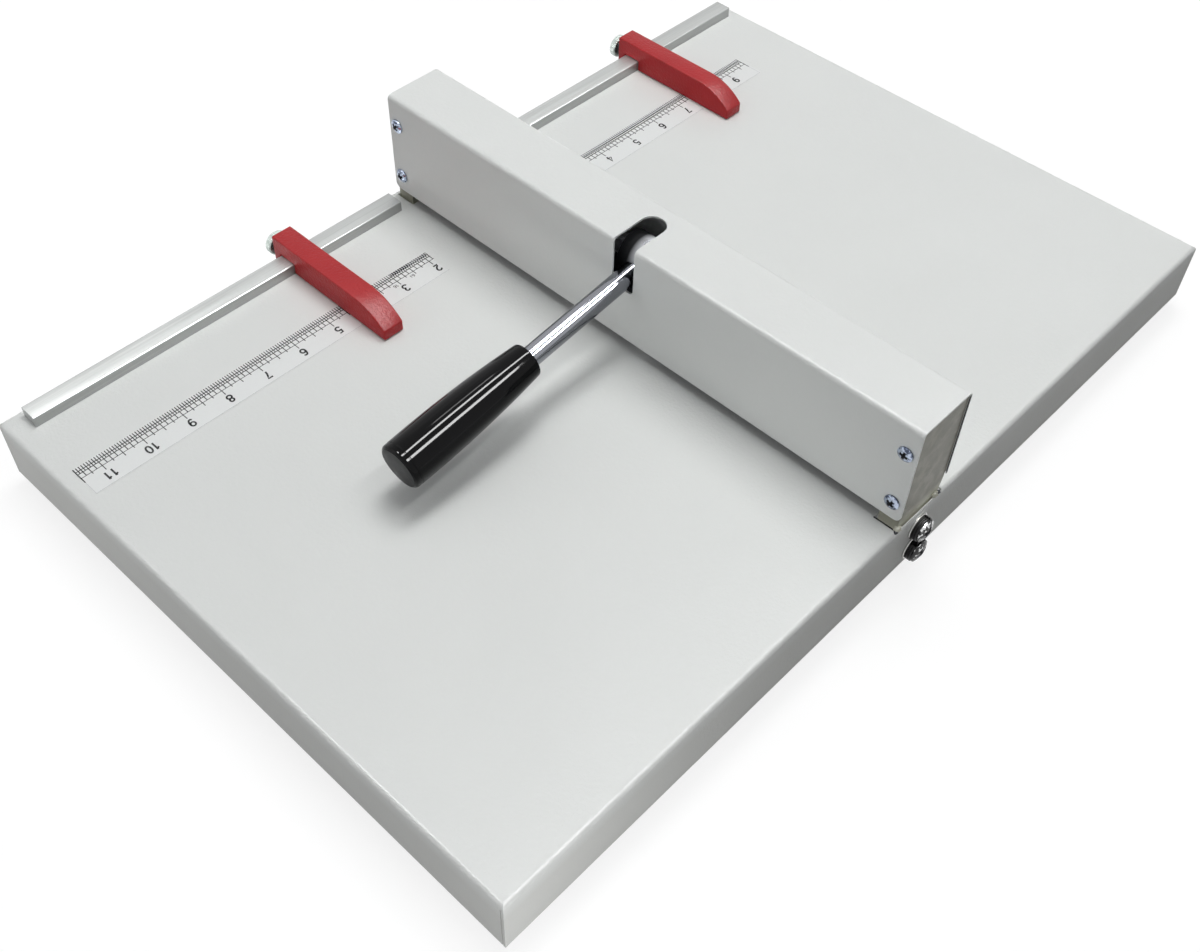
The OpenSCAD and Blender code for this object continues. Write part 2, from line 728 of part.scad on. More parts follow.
coil_gap = (coil_h - 2 * spring_wire_r) / spring_turns - 2 * spring_wire_r;
echo(spring_gap = coil_gap);
module return_springs() {
  color("silver") for (x = spring_xs)
    translate([x, spring_y, spring_z]) coil(spring_r, spring_wire_r, coil_h, spring_turns);
}

// The cover: folded over the side plates, open at both ends and below
cover_left_x = left_plate_x - cover_over;
cover_right_x = right_outer_x + cover_over;
cover_l = cover_right_x - cover_left_x;
cover_front = crease_y - cover_d / 2;
cover_rear = crease_y + cover_d / 2;
module cover_section(inset, low) {
  translate([cover_front + inset, low])
    arch_rect(cover_d - 2 * inset, cover_top_z - inset - low, cover_fold_r - inset);
}
// What rounds one lower corner of a cover wall, drawn in X and Z
module corner_waste() {
  difference() {
    translate([-over, -over]) square(cover_corner_r + over);
    translate([cover_corner_r, cover_corner_r]) circle(cover_corner_r);
  }
}
module cover_corners(y, low) {
  along_y(y, cover_t + 2 * over) {
    translate([cover_left_x, low]) corner_waste();
    translate([cover_right_x, low]) mirror([1, 0]) corner_waste();
  }
}
module lever_slot() {
  slot_h = cover_top_z - bed_z - lever_slot_low;
  along_y(cover_front - over, cover_fold_r + over)
    translate([mid_x - lever_slot_w / 2, bed_z + lever_slot_low])
      round_rect(lever_slot_w, slot_h + lever_slot_r + over, lever_slot_r);
  translate([mid_x, 0, cover_top_z - cover_fold_r]) linear_extrude(cover_fold_r + over) {
    translate([-lever_slot_w / 2, cover_front - over])
      square([lever_slot_w, crease_y + lever_slot_rear - lever_slot_w / 2 - cover_front + over]);
    translate([0, crease_y + lever_slot_rear - lever_slot_w / 2]) circle(lever_slot_w / 2);
  }
}
module housing_cover() {
  color("gainsboro") difference() {
    along_x(cover_left_x, cover_l) cover_section(0, bed_z + front_gap);
    along_x(cover_left_x - over, cover_l + 2 * over) cover_section(cover_t, bed_z);
    translate([cover_left_x - over, crease_y, bed_z]) cube([cover_l + 2 * over, cover_d, rear_gap]);
    cover_corners(cover_front - over, bed_z + front_gap);
    cover_corners(cover_rear - cover_t - over, bed_z + rear_gap);
    lever_slot();
    for (z = cover_screw_heights, x = [left_screw_x, right_screw_x], y = [cover_front, cover_rear - cover_t])
      rod_y(x, y - over, z, cover_screw_r + hole_clear, cover_t + 2 * over);
  }
}
module cover_screws() {
  color("silver") for (z = cover_screw_heights, x = [left_screw_x, right_screw_x]) {
    translate([x, cover_front, z]) rotate([90, 0, 0])
      pan_screw(cover_screw_r, cover_screw_l, cover_head_r, cover_head_h);
    translate([x, cover_rear, z]) rotate([-90, 0, 0])
      pan_screw(cover_screw_r, cover_screw_l, cover_head_r, cover_head_h);
  }
}

// Fence bars with tapped holes, and their screws from under the bed
fence_tap_share = 0.7;
fence_tap_d = fence_h * fence_tap_share;
module fence_bar(y) {
  color("silver") difference() {
    translate([fence_x, y, bed_z]) cube([fence_w, fence_l, fence_h]);
    for (fy = fence_screw_ys) rod_z(fence_mid_x, fy, bed_z - over, small_screw_r + tap_clear, fence_tap_d + over);
  }
}
module front_fence() { fence_bar(crease_y - fence_near - fence_l); }
module rear_fence() { fence_bar(crease_y + fence_near); }
module fence_screws() {
  color("silver") for (y = fence_screw_ys) translate([fence_mid_x, y, bed_z - bed_t]) rotate([180, 0, 0])
    pan_screw(small_screw_r, bed_t + fence_tap_d - seat_gap, small_head_r, small_head_h);
}

// Scale stickers
module scale_sticker(y, l) {
  color("white") translate([fence_inner_x + scale_off, y, bed_z]) cube([scale_w, l, scale_t]);
}
module front_scale() { scale_sticker(crease_y - scale_near - front_scale_l, front_scale_l); }
module rear_scale() { scale_sticker(crease_y + scale_near, rear_scale_l); }

// Cam shaft between the bushes, cross-drilled for the hub's pin
shaft_end = bush_l - seat_gap;
pin_r = 2;
module at_lever() {
  translate([mid_x, crease_y, shaft_h]) rotate([90 + lever_rest_angle, 0, 0]) children();
}
module cam_shaft() {
  color("lightsteelblue") difference() {
    rod_x(left_inner_x - shaft_end, crease_y, shaft_h, shaft_r, span_l + 2 * shaft_end);
    at_lever() rotate([90, 0, 0]) translate([0, 0, -hub_r]) cylinder(r = pin_r + press_clear, h = 2 * hub_r);
  }
}

// Cams: the face that meets the carrier drops evenly as the lever turns
cam_wall = 3.6;
cam_back_r = shaft_r + cam_wall;
cam_slope = -blade_lift / (lever_swing * PI / 180);
function cam_face(a) = let (h = cam_reach + cam_slope * a * PI / 180)
  [h * sin(a) + cam_slope * cos(a), -h * cos(a) + cam_slope * sin(a)];
function cam_back(a) = [cam_back_r * sin(a), -cam_back_r * cos(a)];
cam_face_step = 4;
cam_back_step = 10;
cam_back_from = 140;
cam_back_to = 290;
cam_profile = [
  for (a = [-cam_face_step:cam_face_step:lever_swing + cam_face_step]) cam_face(a),
  for (a = [cam_back_from:cam_back_step:cam_back_to]) cam_back(a)
];
cam_screw_r = 2;
cam_screw_angle = 35;
module at_cam_screw(x) {
  translate([x, crease_y, shaft_h]) rotate([cam_screw_angle, 0, 0]) children();
}
module cam(x) {
  color("slategray") difference() {
    translate([0, crease_y, shaft_h]) along_x(x - cam_t / 2, cam_t) polygon(cam_profile);
    rod_x(x - cam_t, crease_y, shaft_h, shaft_r + press_clear, 2 * cam_t);
    at_cam_screw(x) cylinder(r = cam_screw_r + tap_clear, h = cam_back_r + over);
  }
}
module left_cam() { cam(mid_x - cam_x); }
module right_cam() { cam(mid_x + cam_x); }
module cam_set_screws() {
  color("dimgray") for (x = [mid_x - cam_x, mid_x + cam_x]) at_cam_screw(x) difference() {
    translate([0, 0, shaft_r + tap_clear]) cylinder(r = cam_screw_r, h = cam_wall - hole_clear);
    translate([0, 0, cam_back_r - cam_wall / 2]) cylinder(r = cam_screw_r * socket_r_share, h = cam_wall, $fn = 6);
  }
}

// Collars that keep the shaft in place along its axis
collar_wall = 3.6;
collar_l = 7;
module shaft_collars() {
  color("silver") for (x = [left_inner_x + hole_clear, right_inner_x - hole_clear - collar_l]) difference() {
    rod_x(x, crease_y, shaft_h, shaft_r + collar_wall, collar_l);
    rod_x(x - over, crease_y, shaft_h, shaft_r + press_clear, collar_l + 2 * over);
  }
}

// Lever hub with its cross pin, the rod and the grip, drawn with the rod upwards
spigot_r_share = 0.75;
spigot_r = rod_r * spigot_r_share;
module lever_hub() {
  color("dimgray") difference() {
    at_lever() rotate([0, 90, 0]) translate([0, 0, -hub_l / 2]) cylinder(r = hub_r, h = hub_l);
    at_lever() rotate([0, 90, 0]) translate([0, 0, -hub_l]) cylinder(r = shaft_r + press_clear, h = 2 * hub_l);
    at_lever() cylinder(r = spigot_r + tap_clear, h = hub_r + over);
    at_lever() rotate([90, 0, 0]) translate([0, 0, -hub_r - over])
      cylinder(r = pin_r + press_clear, h = 2 * hub_r + 2 * over);
  }
}
module hub_pin() {
  pin_l = 2 * (hub_r - hole_clear);
  color("silver") at_lever() rotate([90, 0, 0]) translate([0, 0, -pin_l / 2]) cylinder(r = pin_r, h = pin_l);
}
module lever_rod() {
  color("silver") at_lever() {
    translate([0, 0, shaft_r + seat_gap]) cylinder(r = spigot_r, h = hub_r - shaft_r);
    translate([0, 0, hub_r]) cylinder(r = rod_r, h = grip_start + grip_bore_l - hub_r);
  }
}
grip_widest_share = 0.8;
grip_bevel = 1.3;
grip_bevel_l = 2.6;
grip_round = 1.2;
grip_steps = 16;
function grip_r(f) = let (u = (f - grip_widest_share) / grip_widest_share)
  grip_r_max - (grip_r_max - grip_r_rod) * u * u;
grip_end_share = 1 - grip_bevel_l / grip_l;
grip_profile = [
  [0, 0], [grip_r_rod - grip_round, 0],
  for (i = [0:grip_steps]) let (f = grip_round / grip_l + (grip_end_share - grip_round / grip_l) * i / grip_steps)
    [grip_r(f), f * grip_l],
  [grip_r(grip_end_share) - grip_bevel, grip_l], [0, grip_l]
];
module lever_grip() {
  color("black") at_lever() translate([0, 0, grip_start]) difference() {
    rotate_extrude() polygon(grip_profile);
    translate([0, 0, -over]) cylinder(r = rod_r + tap_clear, h = grip_bore_l + seat_gap + over);
  }
}

// Blade carrier with a tongue in each guide groove, rebated in front for the blade and its clamp
module blade_carrier() {
  color("slategray") difference() {
    union() {
      translate([left_inner_x + seat_gap, crease_y - carrier_w / 2, carrier_low])
        cube([carrier_l, carrier_w, carrier_h]);
      translate([left_inner_x - tongue_l, crease_y - tongue_w / 2, carrier_low])
        cube([span_l + 2 * tongue_l, tongue_w, carrier_h]);
    }
    translate([left_inner_x - groove_d - over, crease_y - carrier_w, carrier_low - over])
      cube([span_l + 2 * groove_d + 2 * over, carrier_w + blade_t / 2, clamp_h + seat_gap + over]);
    for (x = clamp_screw_xs) rod_y(x, crease_y, clamp_z, small_screw_r + tap_clear, clamp_tap_d + blade_t / 2);
    for (x = spring_xs)
      rod_y(x, crease_y + carrier_w / 2 - lug_tap_d, lug_z + lug_h / 2, lug_screw_r + tap_clear, lug_tap_d + over);
  }
}
module crease_blade() {
  color("lightsteelblue") difference() {
    translate([left_inner_x + seat_gap, crease_y - blade_t / 2, blade_low])
      cube([carrier_l, blade_t, blade_top - blade_low]);
    for (x = clamp_screw_xs) rod_y(x, crease_y - blade_t, clamp_z, small_screw_r + hole_clear, 2 * blade_t);
  }
}
module blade_clamp() {
  color("slategray") difference() {
    translate([span_x - clamp_l / 2, crease_y - blade_t / 2 - clamp_t, carrier_low])
      cube([clamp_l, clamp_t, clamp_h]);
    for (x = clamp_screw_xs)
      rod_y(x, crease_y - blade_t / 2 - clamp_t - over, clamp_z, small_screw_r + hole_clear, clamp_t + 2 * over);
  }
}
module clamp_screws() {
  color("silver") for (x = clamp_screw_xs)
    translate([x, crease_y - blade_t / 2 - clamp_t, clamp_z]) rotate([90, 0, 0])
      pan_screw(small_screw_r, clamp_t + blade_t + clamp_tap_d - seat_gap, small_head_r, small_head_h);
}

// Lugs behind the carrier, which the return springs push up
lug_sink = lug_head_h + seat_gap;
lug_tap_d = lug_screw_l - rail_w - rail_gap + lug_sink + seat_gap;
module spring_lugs() {
  lug_w = rail_w + rail_gap;
  color("silver") for (x = spring_xs) difference() {
    translate([x - lug_l / 2, crease_y + carrier_w / 2, lug_z]) cube([lug_l, lug_w, lug_h]);
    rod_y(x, crease_y + carrier_w / 2 - over, lug_z + lug_h / 2, lug_screw_r + hole_clear, lug_w + 2 * over);
    rod_y(x, crease_y + carrier_w / 2 + lug_w - lug_sink, lug_z + lug_h / 2, lug_head_r + hole_clear, lug_sink + over);
  }
}
module lug_screws() {
  color("dimgray") for (x = spring_xs)
    translate([x, crease_y + carrier_w / 2 + rail_w + rail_gap - lug_sink, lug_z + lug_h / 2]) rotate([-90, 0, 0])
      pan_screw(lug_screw_r, lug_screw_l, lug_head_r, lug_head_h);
}

// Stops: an arm over the fence bar, its nose curved down to a blunt end, a leg outside the bar
stop_low = bed_z + stop_gap;
nose_drop = stop_top - stop_nose_h;
nose_r = (stop_nose_l * stop_nose_l + nose_drop * nose_drop) / (2 * nose_drop);
module stop_profile() {
  nose_x = stop_x + stop_l;
  difference() {
    intersection() {
      translate([stop_x, stop_low]) square([stop_l, stop_top - stop_gap]);
      union() {
        translate([stop_x, stop_low]) square([stop_l - stop_nose_l, stop_top]);
        translate([nose_x - stop_nose_l, bed_z + stop_top - nose_r]) circle(nose_r, $fn = 128);
      }
    }
    translate([fence_x - stop_gap, bed_z]) square([fence_w + 2 * stop_gap, fence_h + stop_gap]);
  }
}
module stop(y) {
  color("firebrick") difference() {
    along_y(y - stop_w / 2, stop_w) stop_profile();
    rod_x(stop_x - over, y, bed_z + knob_z, knob_thread_r + run_clear, stop_leg_t + 2 * over);
  }
}
module front_stop() { stop(crease_y - front_stop_y); }
module rear_stop() { stop(crease_y + rear_stop_y); }

// Thumb screws: knurled head, collar and thread, which clamps on the fence bar
knurls = 30;
knob_bevel = 0.6;
module thumb_screw(y) {
  tip_x = fence_x - seat_gap;
  color("silver") {
    translate([knob_x, y, bed_z + knob_z]) rotate([0, 90, 0]) {
      translate([0, 0, knob_bevel]) linear_extrude(knob_t - 2 * knob_bevel)
        polygon([for (i = [0:2 * knurls - 1])
          let (r = knob_r - (i % 2) * knurl_d, a = 180 * i / knurls) [r * cos(a), r * sin(a)]]);
      cylinder(r = knob_r - 2 * knurl_d, h = knob_t);
    }
    rod_x(knob_x + knob_t / 2, y, bed_z + knob_z, knob_collar_r, knob_t / 2 + knob_collar_l);
    rod_x(knob_x + knob_t / 2, y, bed_z + knob_z, knob_thread_r, tip_x - knob_x - knob_t / 2);
  }
}
module front_thumb_screw() { thumb_screw(crease_y - front_stop_y); }
module rear_thumb_screw() { thumb_screw(crease_y + rear_stop_y); }

bed_pan();
bed_edges();
front_rib();
rear_rib();
rubber_feet();
foot_screws();
foot_nuts();
cross_beam();
beam_end_blocks();
beam_screws();
opening_strips();
lower_die();
die_screws();
left_side_plate();
right_side_plate();
flange_screws();
spring_washers();
flat_washers();
flange_spacers();
shaft_bushes();
spring_rail();
spring_studs();
return_springs();
housing_cover();
cover_screws();
front_fence();
rear_fence();
fence_screws();
front_scale();
rear_scale();
cam_shaft();
left_cam();
right_cam();
cam_set_screws();
shaft_collars();
lever_hub();
hub_pin();
lever_rod();
lever_grip();
blade_carrier();
crease_blade();
blade_clamp();
clamp_screws();
spring_lugs();
lug_screws();
front_stop();
rear_stop();
front_thumb_screw();
rear_thumb_screw();
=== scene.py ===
import json
import math
from collections import namedtuple

import bmesh
import bpy
from mathutils import Matrix, Vector


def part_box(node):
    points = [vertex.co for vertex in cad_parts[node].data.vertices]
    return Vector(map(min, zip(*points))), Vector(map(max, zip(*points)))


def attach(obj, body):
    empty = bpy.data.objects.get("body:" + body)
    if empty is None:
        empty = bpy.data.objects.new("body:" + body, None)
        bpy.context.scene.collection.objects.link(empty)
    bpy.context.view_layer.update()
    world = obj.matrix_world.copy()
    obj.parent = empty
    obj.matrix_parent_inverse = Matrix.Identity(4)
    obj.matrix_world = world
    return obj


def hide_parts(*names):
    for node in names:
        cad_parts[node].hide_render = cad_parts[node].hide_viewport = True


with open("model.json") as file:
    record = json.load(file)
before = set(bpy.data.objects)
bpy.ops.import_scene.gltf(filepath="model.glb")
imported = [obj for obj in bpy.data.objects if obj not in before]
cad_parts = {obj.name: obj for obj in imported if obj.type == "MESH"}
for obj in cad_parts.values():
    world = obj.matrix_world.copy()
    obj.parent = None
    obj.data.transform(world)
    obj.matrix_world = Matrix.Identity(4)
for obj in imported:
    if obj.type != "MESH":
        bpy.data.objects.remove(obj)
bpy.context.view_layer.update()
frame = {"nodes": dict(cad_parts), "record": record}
# Forms are made in millimetres; cameras, lamps, floor and noise are in metres
MM = 0.001
scene = bpy.context.scene
scene.view_settings.view_transform = "Standard"

# Camera at the photograph's place, for a frame 1200 wide and 952 high
cam_data = bpy.data.cameras.new("photo_camera")
cam_data.sensor_fit = "HORIZONTAL"
cam_data.sensor_width = 36.0
cam_data.lens = 42.085
cam_data.clip_start, cam_data.clip_end = 0.01, 50.0
camera = bpy.data.objects.new("photo_camera", cam_data)
scene.collection.objects.link(camera)
camera.matrix_world = Matrix((
    (0.7245225, -0.5349271, 0.4346495, 0.3814925),
    (0.6888733, 0.5411136, -0.4823377, -0.4535311),
    (0.0228207, 0.6488829, 0.7605460, 0.6082859),
    (0, 0, 0, 1)))
scene.camera = camera


# Materials
def srgb(r, g, b):
    """A linear colour from 8-bit sRGB values."""
    def linear(c):
        return c / 12.92 if c <= 0.04045 else ((c + 0.055) / 1.055) ** 2.4
    return tuple(linear(v / 255) for v in (r, g, b)) + (1.0,)


def node(tree, kind, **sockets):
    """A shader node with constants on its sockets."""
    n = tree.nodes.new(kind)
    for k, v in sockets.items():
        n.inputs[k.replace("_", " ")].default_value = v
    return n


def noise(tree, coords, scale, detail=2.0, rough=0.5, stretch=(1, 1, 1)):
    """Fractal noise over the object's own coordinates, stretched by axis."""
    mapping = node(tree, "ShaderNodeMapping", Scale=stretch)
    tree.links.new(coords, mapping.inputs["Vector"])
    n = node(tree, "ShaderNodeTexNoise", Scale=scale, Detail=detail, Roughness=rough)
    tree.links.new(mapping.outputs["Vector"], n.inputs["Vector"])
    return n.outputs["Fac"]


def ranged(tree, value, low, high, a=0.3, b=0.7):
    """Runs from low to high while the value runs from a to b."""
    n = node(tree, "ShaderNodeMapRange", From_Min=a, From_Max=b, To_Min=low, To_Max=high)
    tree.links.new(value, n.inputs["Value"])
    return n.outputs["Result"]


def blended(tree, under, over, share):
    """A colour socket covered with a constant colour by a share."""
    mix = node(tree, "ShaderNodeMixRGB", Color2=over)
    tree.links.new(share, mix.inputs["Fac"])
    tree.links.new(under, mix.inputs["Color1"])
    return mix.outputs["Color"]


# How much finer patches of a second colour and of wear are than the mottle
PATCH_FINER, WEAR_FINER = 2.3, 1.7
PATCH_MOST = 0.95


def material(name, colour, metallic=0.0, rough=0.5, spec=0.5, mottle=(30, 0.03),
             mottle_stretch=(1, 1, 1), rough_var=0.04, grains=((600, 0.00004),),
             grain_stretch=(1, 1, 1), second=None, second_at=(0.5, 0.62), foot=None):
    """A surface whose tone, roughness and fine relief come from noise.

    mottle is (scale, strength) of the tone, each of grains is (scale, height) of the relief,
    second is the colour of patches where their noise passes second_at, and foot is a
    (colour, place where it covers all, place where it ends, axis) that lays painted light or
    shade along one axis of the object.
    """
    mat = bpy.data.materials.new(name)
    mat.use_nodes = True
    t = mat.node_tree
    p = t.nodes["Principled BSDF"]
    p.inputs["Metallic"].default_value = metallic
    p.inputs["Specular IOR Level"].default_value = spec
    coords = t.nodes.new("ShaderNodeTexCoord").outputs["Object"]
    cloud = noise(t, coords, mottle[0], 4.0, 0.6, mottle_stretch)
    tone = node(t, "ShaderNodeHueSaturation", Color=colour)
    t.links.new(ranged(t, cloud, 1 - mottle[1], 1 + mottle[1]), tone.inputs["Value"])
    result = tone.outputs["Color"]
    if second:
        patch = noise(t, coords, mottle[0] * PATCH_FINER, 5.0, 0.65, mottle_stretch)
        result = blended(t, result, second, ranged(t, patch, 0.0, PATCH_MOST, *second_at))
    # Painted light or shade, laid along one axis
    if foot:
        shade, full, none, axis = foot
        split = t.nodes.new("ShaderNodeSeparateXYZ")
        t.links.new(coords, split.inputs["Vector"])
        result = blended(t, result, shade, ranged(t, split.outputs[axis], 1.0, 0.0, full, none))
    t.links.new(result, p.inputs["Base Color"])
    wear = noise(t, coords, mottle[0] * WEAR_FINER, 3.0, 0.5, mottle_stretch)
    t.links.new(ranged(t, wear, rough - rough_var, rough + rough_var), p.inputs["Roughness"])
    normal = None
    for scale, height in grains:
        bump = node(t, "ShaderNodeBump", Strength=1.0, Distance=height)
        t.links.new(noise(t, coords, scale, 2.0, 0.5, grain_stretch), bump.inputs["Height"])
        if normal:
            t.links.new(normal, bump.inputs["Normal"])
        normal = bump.outputs["Normal"]
    t.links.new(normal, p.inputs["Normal"])
    return mat


POWDER = dict(mottle=(9, 0.01), grains=((560, 0.00018), (1500, 0.00006)))
# One material for each slot of the record
MATS = {slot: material(slot, colour, **looks) for slot, colour, looks in (
    ("powder_grey", srgb(219, 221, 219), dict(rough=0.32, spec=0.2, **POWDER)),
    ("plain_sheet", srgb(168, 170, 170), dict(
        metallic=0.8, rough=0.42, mottle=(60, 0.10), grains=((900, 0.00002),),
        second=srgb(196, 198, 200))),
    ("rubber", srgb(34, 34, 34), dict(rough=0.75, spec=0.3, grains=((1500, 0.00006),))),
    # The dark blue patches in the zinc are painted dark reflections
    ("zinc", srgb(174, 184, 202), dict(
        metallic=1.0, rough=0.13, mottle=(190, 0.15), grains=((1800, 0.00001),),
        second=srgb(58, 66, 86), second_at=(0.5, 0.57))),
    ("bright_washer", srgb(206, 206, 204), dict(
        metallic=1.0, rough=0.2, mottle=(300, 0.08), grains=((2600, 0.00001),))),
    ("black_steel", srgb(26, 26, 27), dict(
        metallic=0.2, rough=0.36, mottle=(300, 0.2), grains=((1800, 0.00003),))),
    ("dark_steel", srgb(92, 95, 98), dict(
        metallic=0.9, rough=0.4, mottle=(120, 0.12), mottle_stretch=(0.15, 1, 1),
        grains=((2200, 0.00002),), grain_stretch=(0.05, 1, 1))),
    ("tool_steel", srgb(176, 178, 182), dict(
        metallic=1.0, rough=0.26, mottle=(150, 0.06), mottle_stretch=(0.1, 1, 1),
        grains=((3000, 0.00001),), grain_stretch=(0.03, 1, 1))),
    ("spring_wire", srgb(150, 152, 156), dict(metallic=1.0, rough=0.3, mottle=(400, 0.1))),
    # The plate is painted lighter near the bed, a painted reflection of the bed
    ("olive_plate", srgb(95, 94, 84), dict(
        metallic=0.4, rough=0.44, mottle=(45, 0.14), grains=((500, 0.00003), (2200, 0.00001)),
        second=srgb(115, 114, 103), second_at=(0.46, 0.62),
        foot=(srgb(172, 172, 156), 0.047, 0.057, "Z"))),
    ("bronze", srgb(190, 150, 92), dict(metallic=1.0, rough=0.35, mottle=(300, 0.1))),
    ("fence_aluminium", srgb(167, 169, 168), dict(
        metallic=0.7, rough=0.42, mottle=(900, 0.08), mottle_stretch=(1, 0.012, 1),
        rough_var=0.06, grains=((3600, 0.00001),), grain_stretch=(1, 0.006, 1))),
    ("scale_sticker", srgb(222, 224, 223), dict(
        rough=0.4, spec=0.35, mottle=(500, 0.01), grains=((2500, 0.00001),))),
    ("chrome_rod", srgb(140, 142, 148), dict(
        metallic=1.0, rough=0.055, rough_var=0.015, mottle=(40, 0.03),
        mottle_stretch=(1, 0.08, 0.08), grains=((1200, 0.000002),))),
    ("black_grip", srgb(7, 7, 9), dict(
        rough=0.06, spec=0.13, rough_var=0.01, mottle=(50, 0.2), grains=((260, 0.000006),))),
    ("powder_red", srgb(168, 34, 38), dict(
        rough=0.38, spec=0.2, mottle=(40, 0.05), grains=((620, 0.00032), (1500, 0.0001)))),
    ("knurled_steel", srgb(196, 204, 200), dict(
        metallic=0.9, rough=0.25, mottle=(260, 0.08), grains=((1800, 0.00001),))),
)}
INK = material("scale_ink", srgb(14, 15, 17), rough=0.5, spec=0.3, mottle=(900, 0.3))
HAIRLINE = material("scale_hairline", srgb(158, 160, 163), rough=0.5, mottle=(900, 0.05))
GRIP_END = material("grip_end", srgb(12, 13, 15), rough=0.4, spec=0.2, mottle=(80, 0.2),
                    grains=((1400, 0.00003),))
BEAD = material("weld_bead", srgb(196, 195, 180), rough=0.5, spec=0.4, mottle=(300, 0.1),
                grains=((900, 0.0001),))
# Painted shade: the dark colour laid in screw recesses, under screw rims and in gaps
PAINTED_SHADE = material("painted_shade_dark", srgb(30, 31, 34), metallic=0.6, rough=0.5, mottle=(500, 0.3),
                  grains=((1800, 0.00003),))
# The near-black patches in the screw chrome are painted dark reflections
CHROME = material("screw_chrome", srgb(214, 215, 215), metallic=1.0, rough=0.08,
                  mottle=(150, 0.1), grains=((1500, 0.00001),), second=srgb(14, 14, 15),
                  second_at=(0.42, 0.47))
# Nodes that look unlike the rest of their slot, through painted light and shade
OWN = {
    # The bed's flanges are painted darker below their top band, a painted shade
    "bed_edges": material("powder_grey_edges_painted_shade", srgb(219, 221, 219), rough=0.45, spec=0.06,
                          foot=(srgb(209, 210, 207), 0.036, 0.045, "Z"), **POWDER),
    # The lever hub's dark colour is a painted shade, and its side towards +X a painted highlight
    "lever_hub": material("hub_painted_light_and_shade", srgb(24, 25, 28), rough=0.8, spec=0.08,
                          mottle=(200, 0.1), grains=((900, 0.00003),),
                          foot=(srgb(220, 222, 226), 0.001, -0.0045, "X")),
}
for sub in frame["record"]["subparts"]:
    cad = frame["nodes"][sub["node"]]
    cad.data.materials.clear()
    cad.data.materials.append(OWN.get(sub["node"], MATS[sub["material_slot"]]))

# Boxes of the CAD nodes
Corner = namedtuple("Corner", "x y z")


def box(name):
    """Both corners of a node's box, in millimetres."""
    return [Corner(*(c / MM for c in corner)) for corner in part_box(name)]


def centre(name):
    """The middle of a node's box, in millimetres."""
    lo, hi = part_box(name)
    return (lo + hi) / 2 / MM


BED_Z = box("front_fence")[0].z
CREASE = centre("housing_cover").y
MID_X = centre("lever_rod").x
SHAFT_Z = centre("cam_shaft").z

# Forms are (verts, faces); a box has its lower four corners first, then its upper four
BOX_FACES = [(0, 1, 2, 3), (4, 5, 6, 7), (0, 1, 5, 4), (1, 2, 6, 5), (2, 3, 7, 6), (3, 0, 4, 7)]


def shifted(faces, base):
    """Faces whose corners are counted from base."""
    return [tuple(i + base for i in f) for f in faces]


def joined(forms):
    """One form out of several."""
    verts, faces = [], []
    for more_verts, more_faces in forms:
        faces += shifted(more_faces, len(verts))
        verts += more_verts
    return verts, faces


def placed(form, places):
    """Copies of a form, one under each matrix."""
    return joined([([tuple(m @ Vector(v)) for v in form[0]], form[1]) for m in places])


def at(x, y, z, axis, turn=0.0):
    """A matrix that puts +Z along an axis at a point, turned about it by degrees."""
    q = Vector(axis).to_track_quat("Z", "Y").to_matrix().to_4x4()
    return Matrix.Translation((x, y, z)) @ q @ Matrix.Rotation(math.radians(turn), 4, "Z")


def block(x0, x1, y0, y1, z0, z1):
    """The form of a box."""
    return [(x, y, z) for z in (z0, z1)
            for x, y in ((x0, y0), (x1, y0), (x1, y1), (x0, y1))], BOX_FACES


def oval(cx, cy, rx, ry, a0, a1, n=18):
    """Points of an oval's arc, angles in degrees."""
    return [(cx + rx * math.cos(math.radians(a0 + (a1 - a0) * i / n)),
             cy + ry * math.sin(math.radians(a0 + (a1 - a0) * i / n))) for i in range(n + 1)]


def lathe(profile, seg=64):
    """A turned form about Z from (radius, height) pairs; radius 0 closes it."""
    verts, rows = [], []
    for r, z in profile:
        if r <= 0:
            rows.append([len(verts)])
            verts.append((0, 0, z))
        else:
            rows.append(list(range(len(verts), len(verts) + seg)))
            verts += [(r * math.cos(2 * math.pi * k / seg), r * math.sin(2 * math.pi * k / seg), z)
                      for k in range(seg)]
    faces = []
    for a, b in zip(rows, rows[1:]):
        for k in range(seg):
            n = (k + 1) % seg
            if len(a) == 1 and len(b) > 1:
                faces.append((a[0], b[k], b[n]))
            elif len(b) == 1 and len(a) > 1:
                faces.append((a[k], b[0], a[n]))
            elif len(a) > 1:
                faces.append((a[k], b[k], b[n], a[n]))
    return verts, faces


def extruded(outline, y0, y1):
    """A prism along Y from an outline of (x, z) points."""
    n = len(outline)
    verts = [(x, y, z) for y in (y0, y1) for x, z in outline]
    faces = [tuple(range(n)), tuple(range(2 * n - 1, n - 1, -1))]
    return verts, faces + [(i, i + n, (i + 1) % n + n, (i + 1) % n) for i in range(n)]


def mesh_object(name, verts, faces):
    """An object in the scene whose faces look outwards."""
    mesh = bpy.data.meshes.new(name)
    mesh.from_pydata(verts, [], faces)
    bm = bmesh.new()
    bm.from_mesh(mesh)
    bmesh.ops.recalc_face_normals(bm, faces=bm.faces)
    bm.to_mesh(mesh)
    bm.free()
    obj = bpy.data.objects.new(name, mesh)
    scene.collection.objects.link(obj)
    return obj


def bake(obj):
    """Puts the result of the modifiers in the mesh."""
    bpy.context.view_layer.update()
    done = bpy.data.meshes.new_from_object(
        obj.evaluated_get(bpy.context.evaluated_depsgraph_get()))
    obj.modifiers.clear()
    obj.data = done


def cut(form, cutter):
    """A form with another taken out of it."""
    objs = [mesh_object("cut%d" % i, *part) for i, part in enumerate((form, cutter))]
    m = objs[0].modifiers.new("cut", "BOOLEAN")
    m.operation, m.object, m.solver, m.use_self = "DIFFERENCE", objs[1], "EXACT", True
    bake(objs[0])
    mesh = objs[0].data
    out = [tuple(v.co) for v in mesh.vertices], [tuple(f.vertices) for f in mesh.polygons]
    for o in objs:
        bpy.data.objects.remove(o)
    return out


BEVEL_STEPS, BEVEL_FROM = 3, math.radians(20)


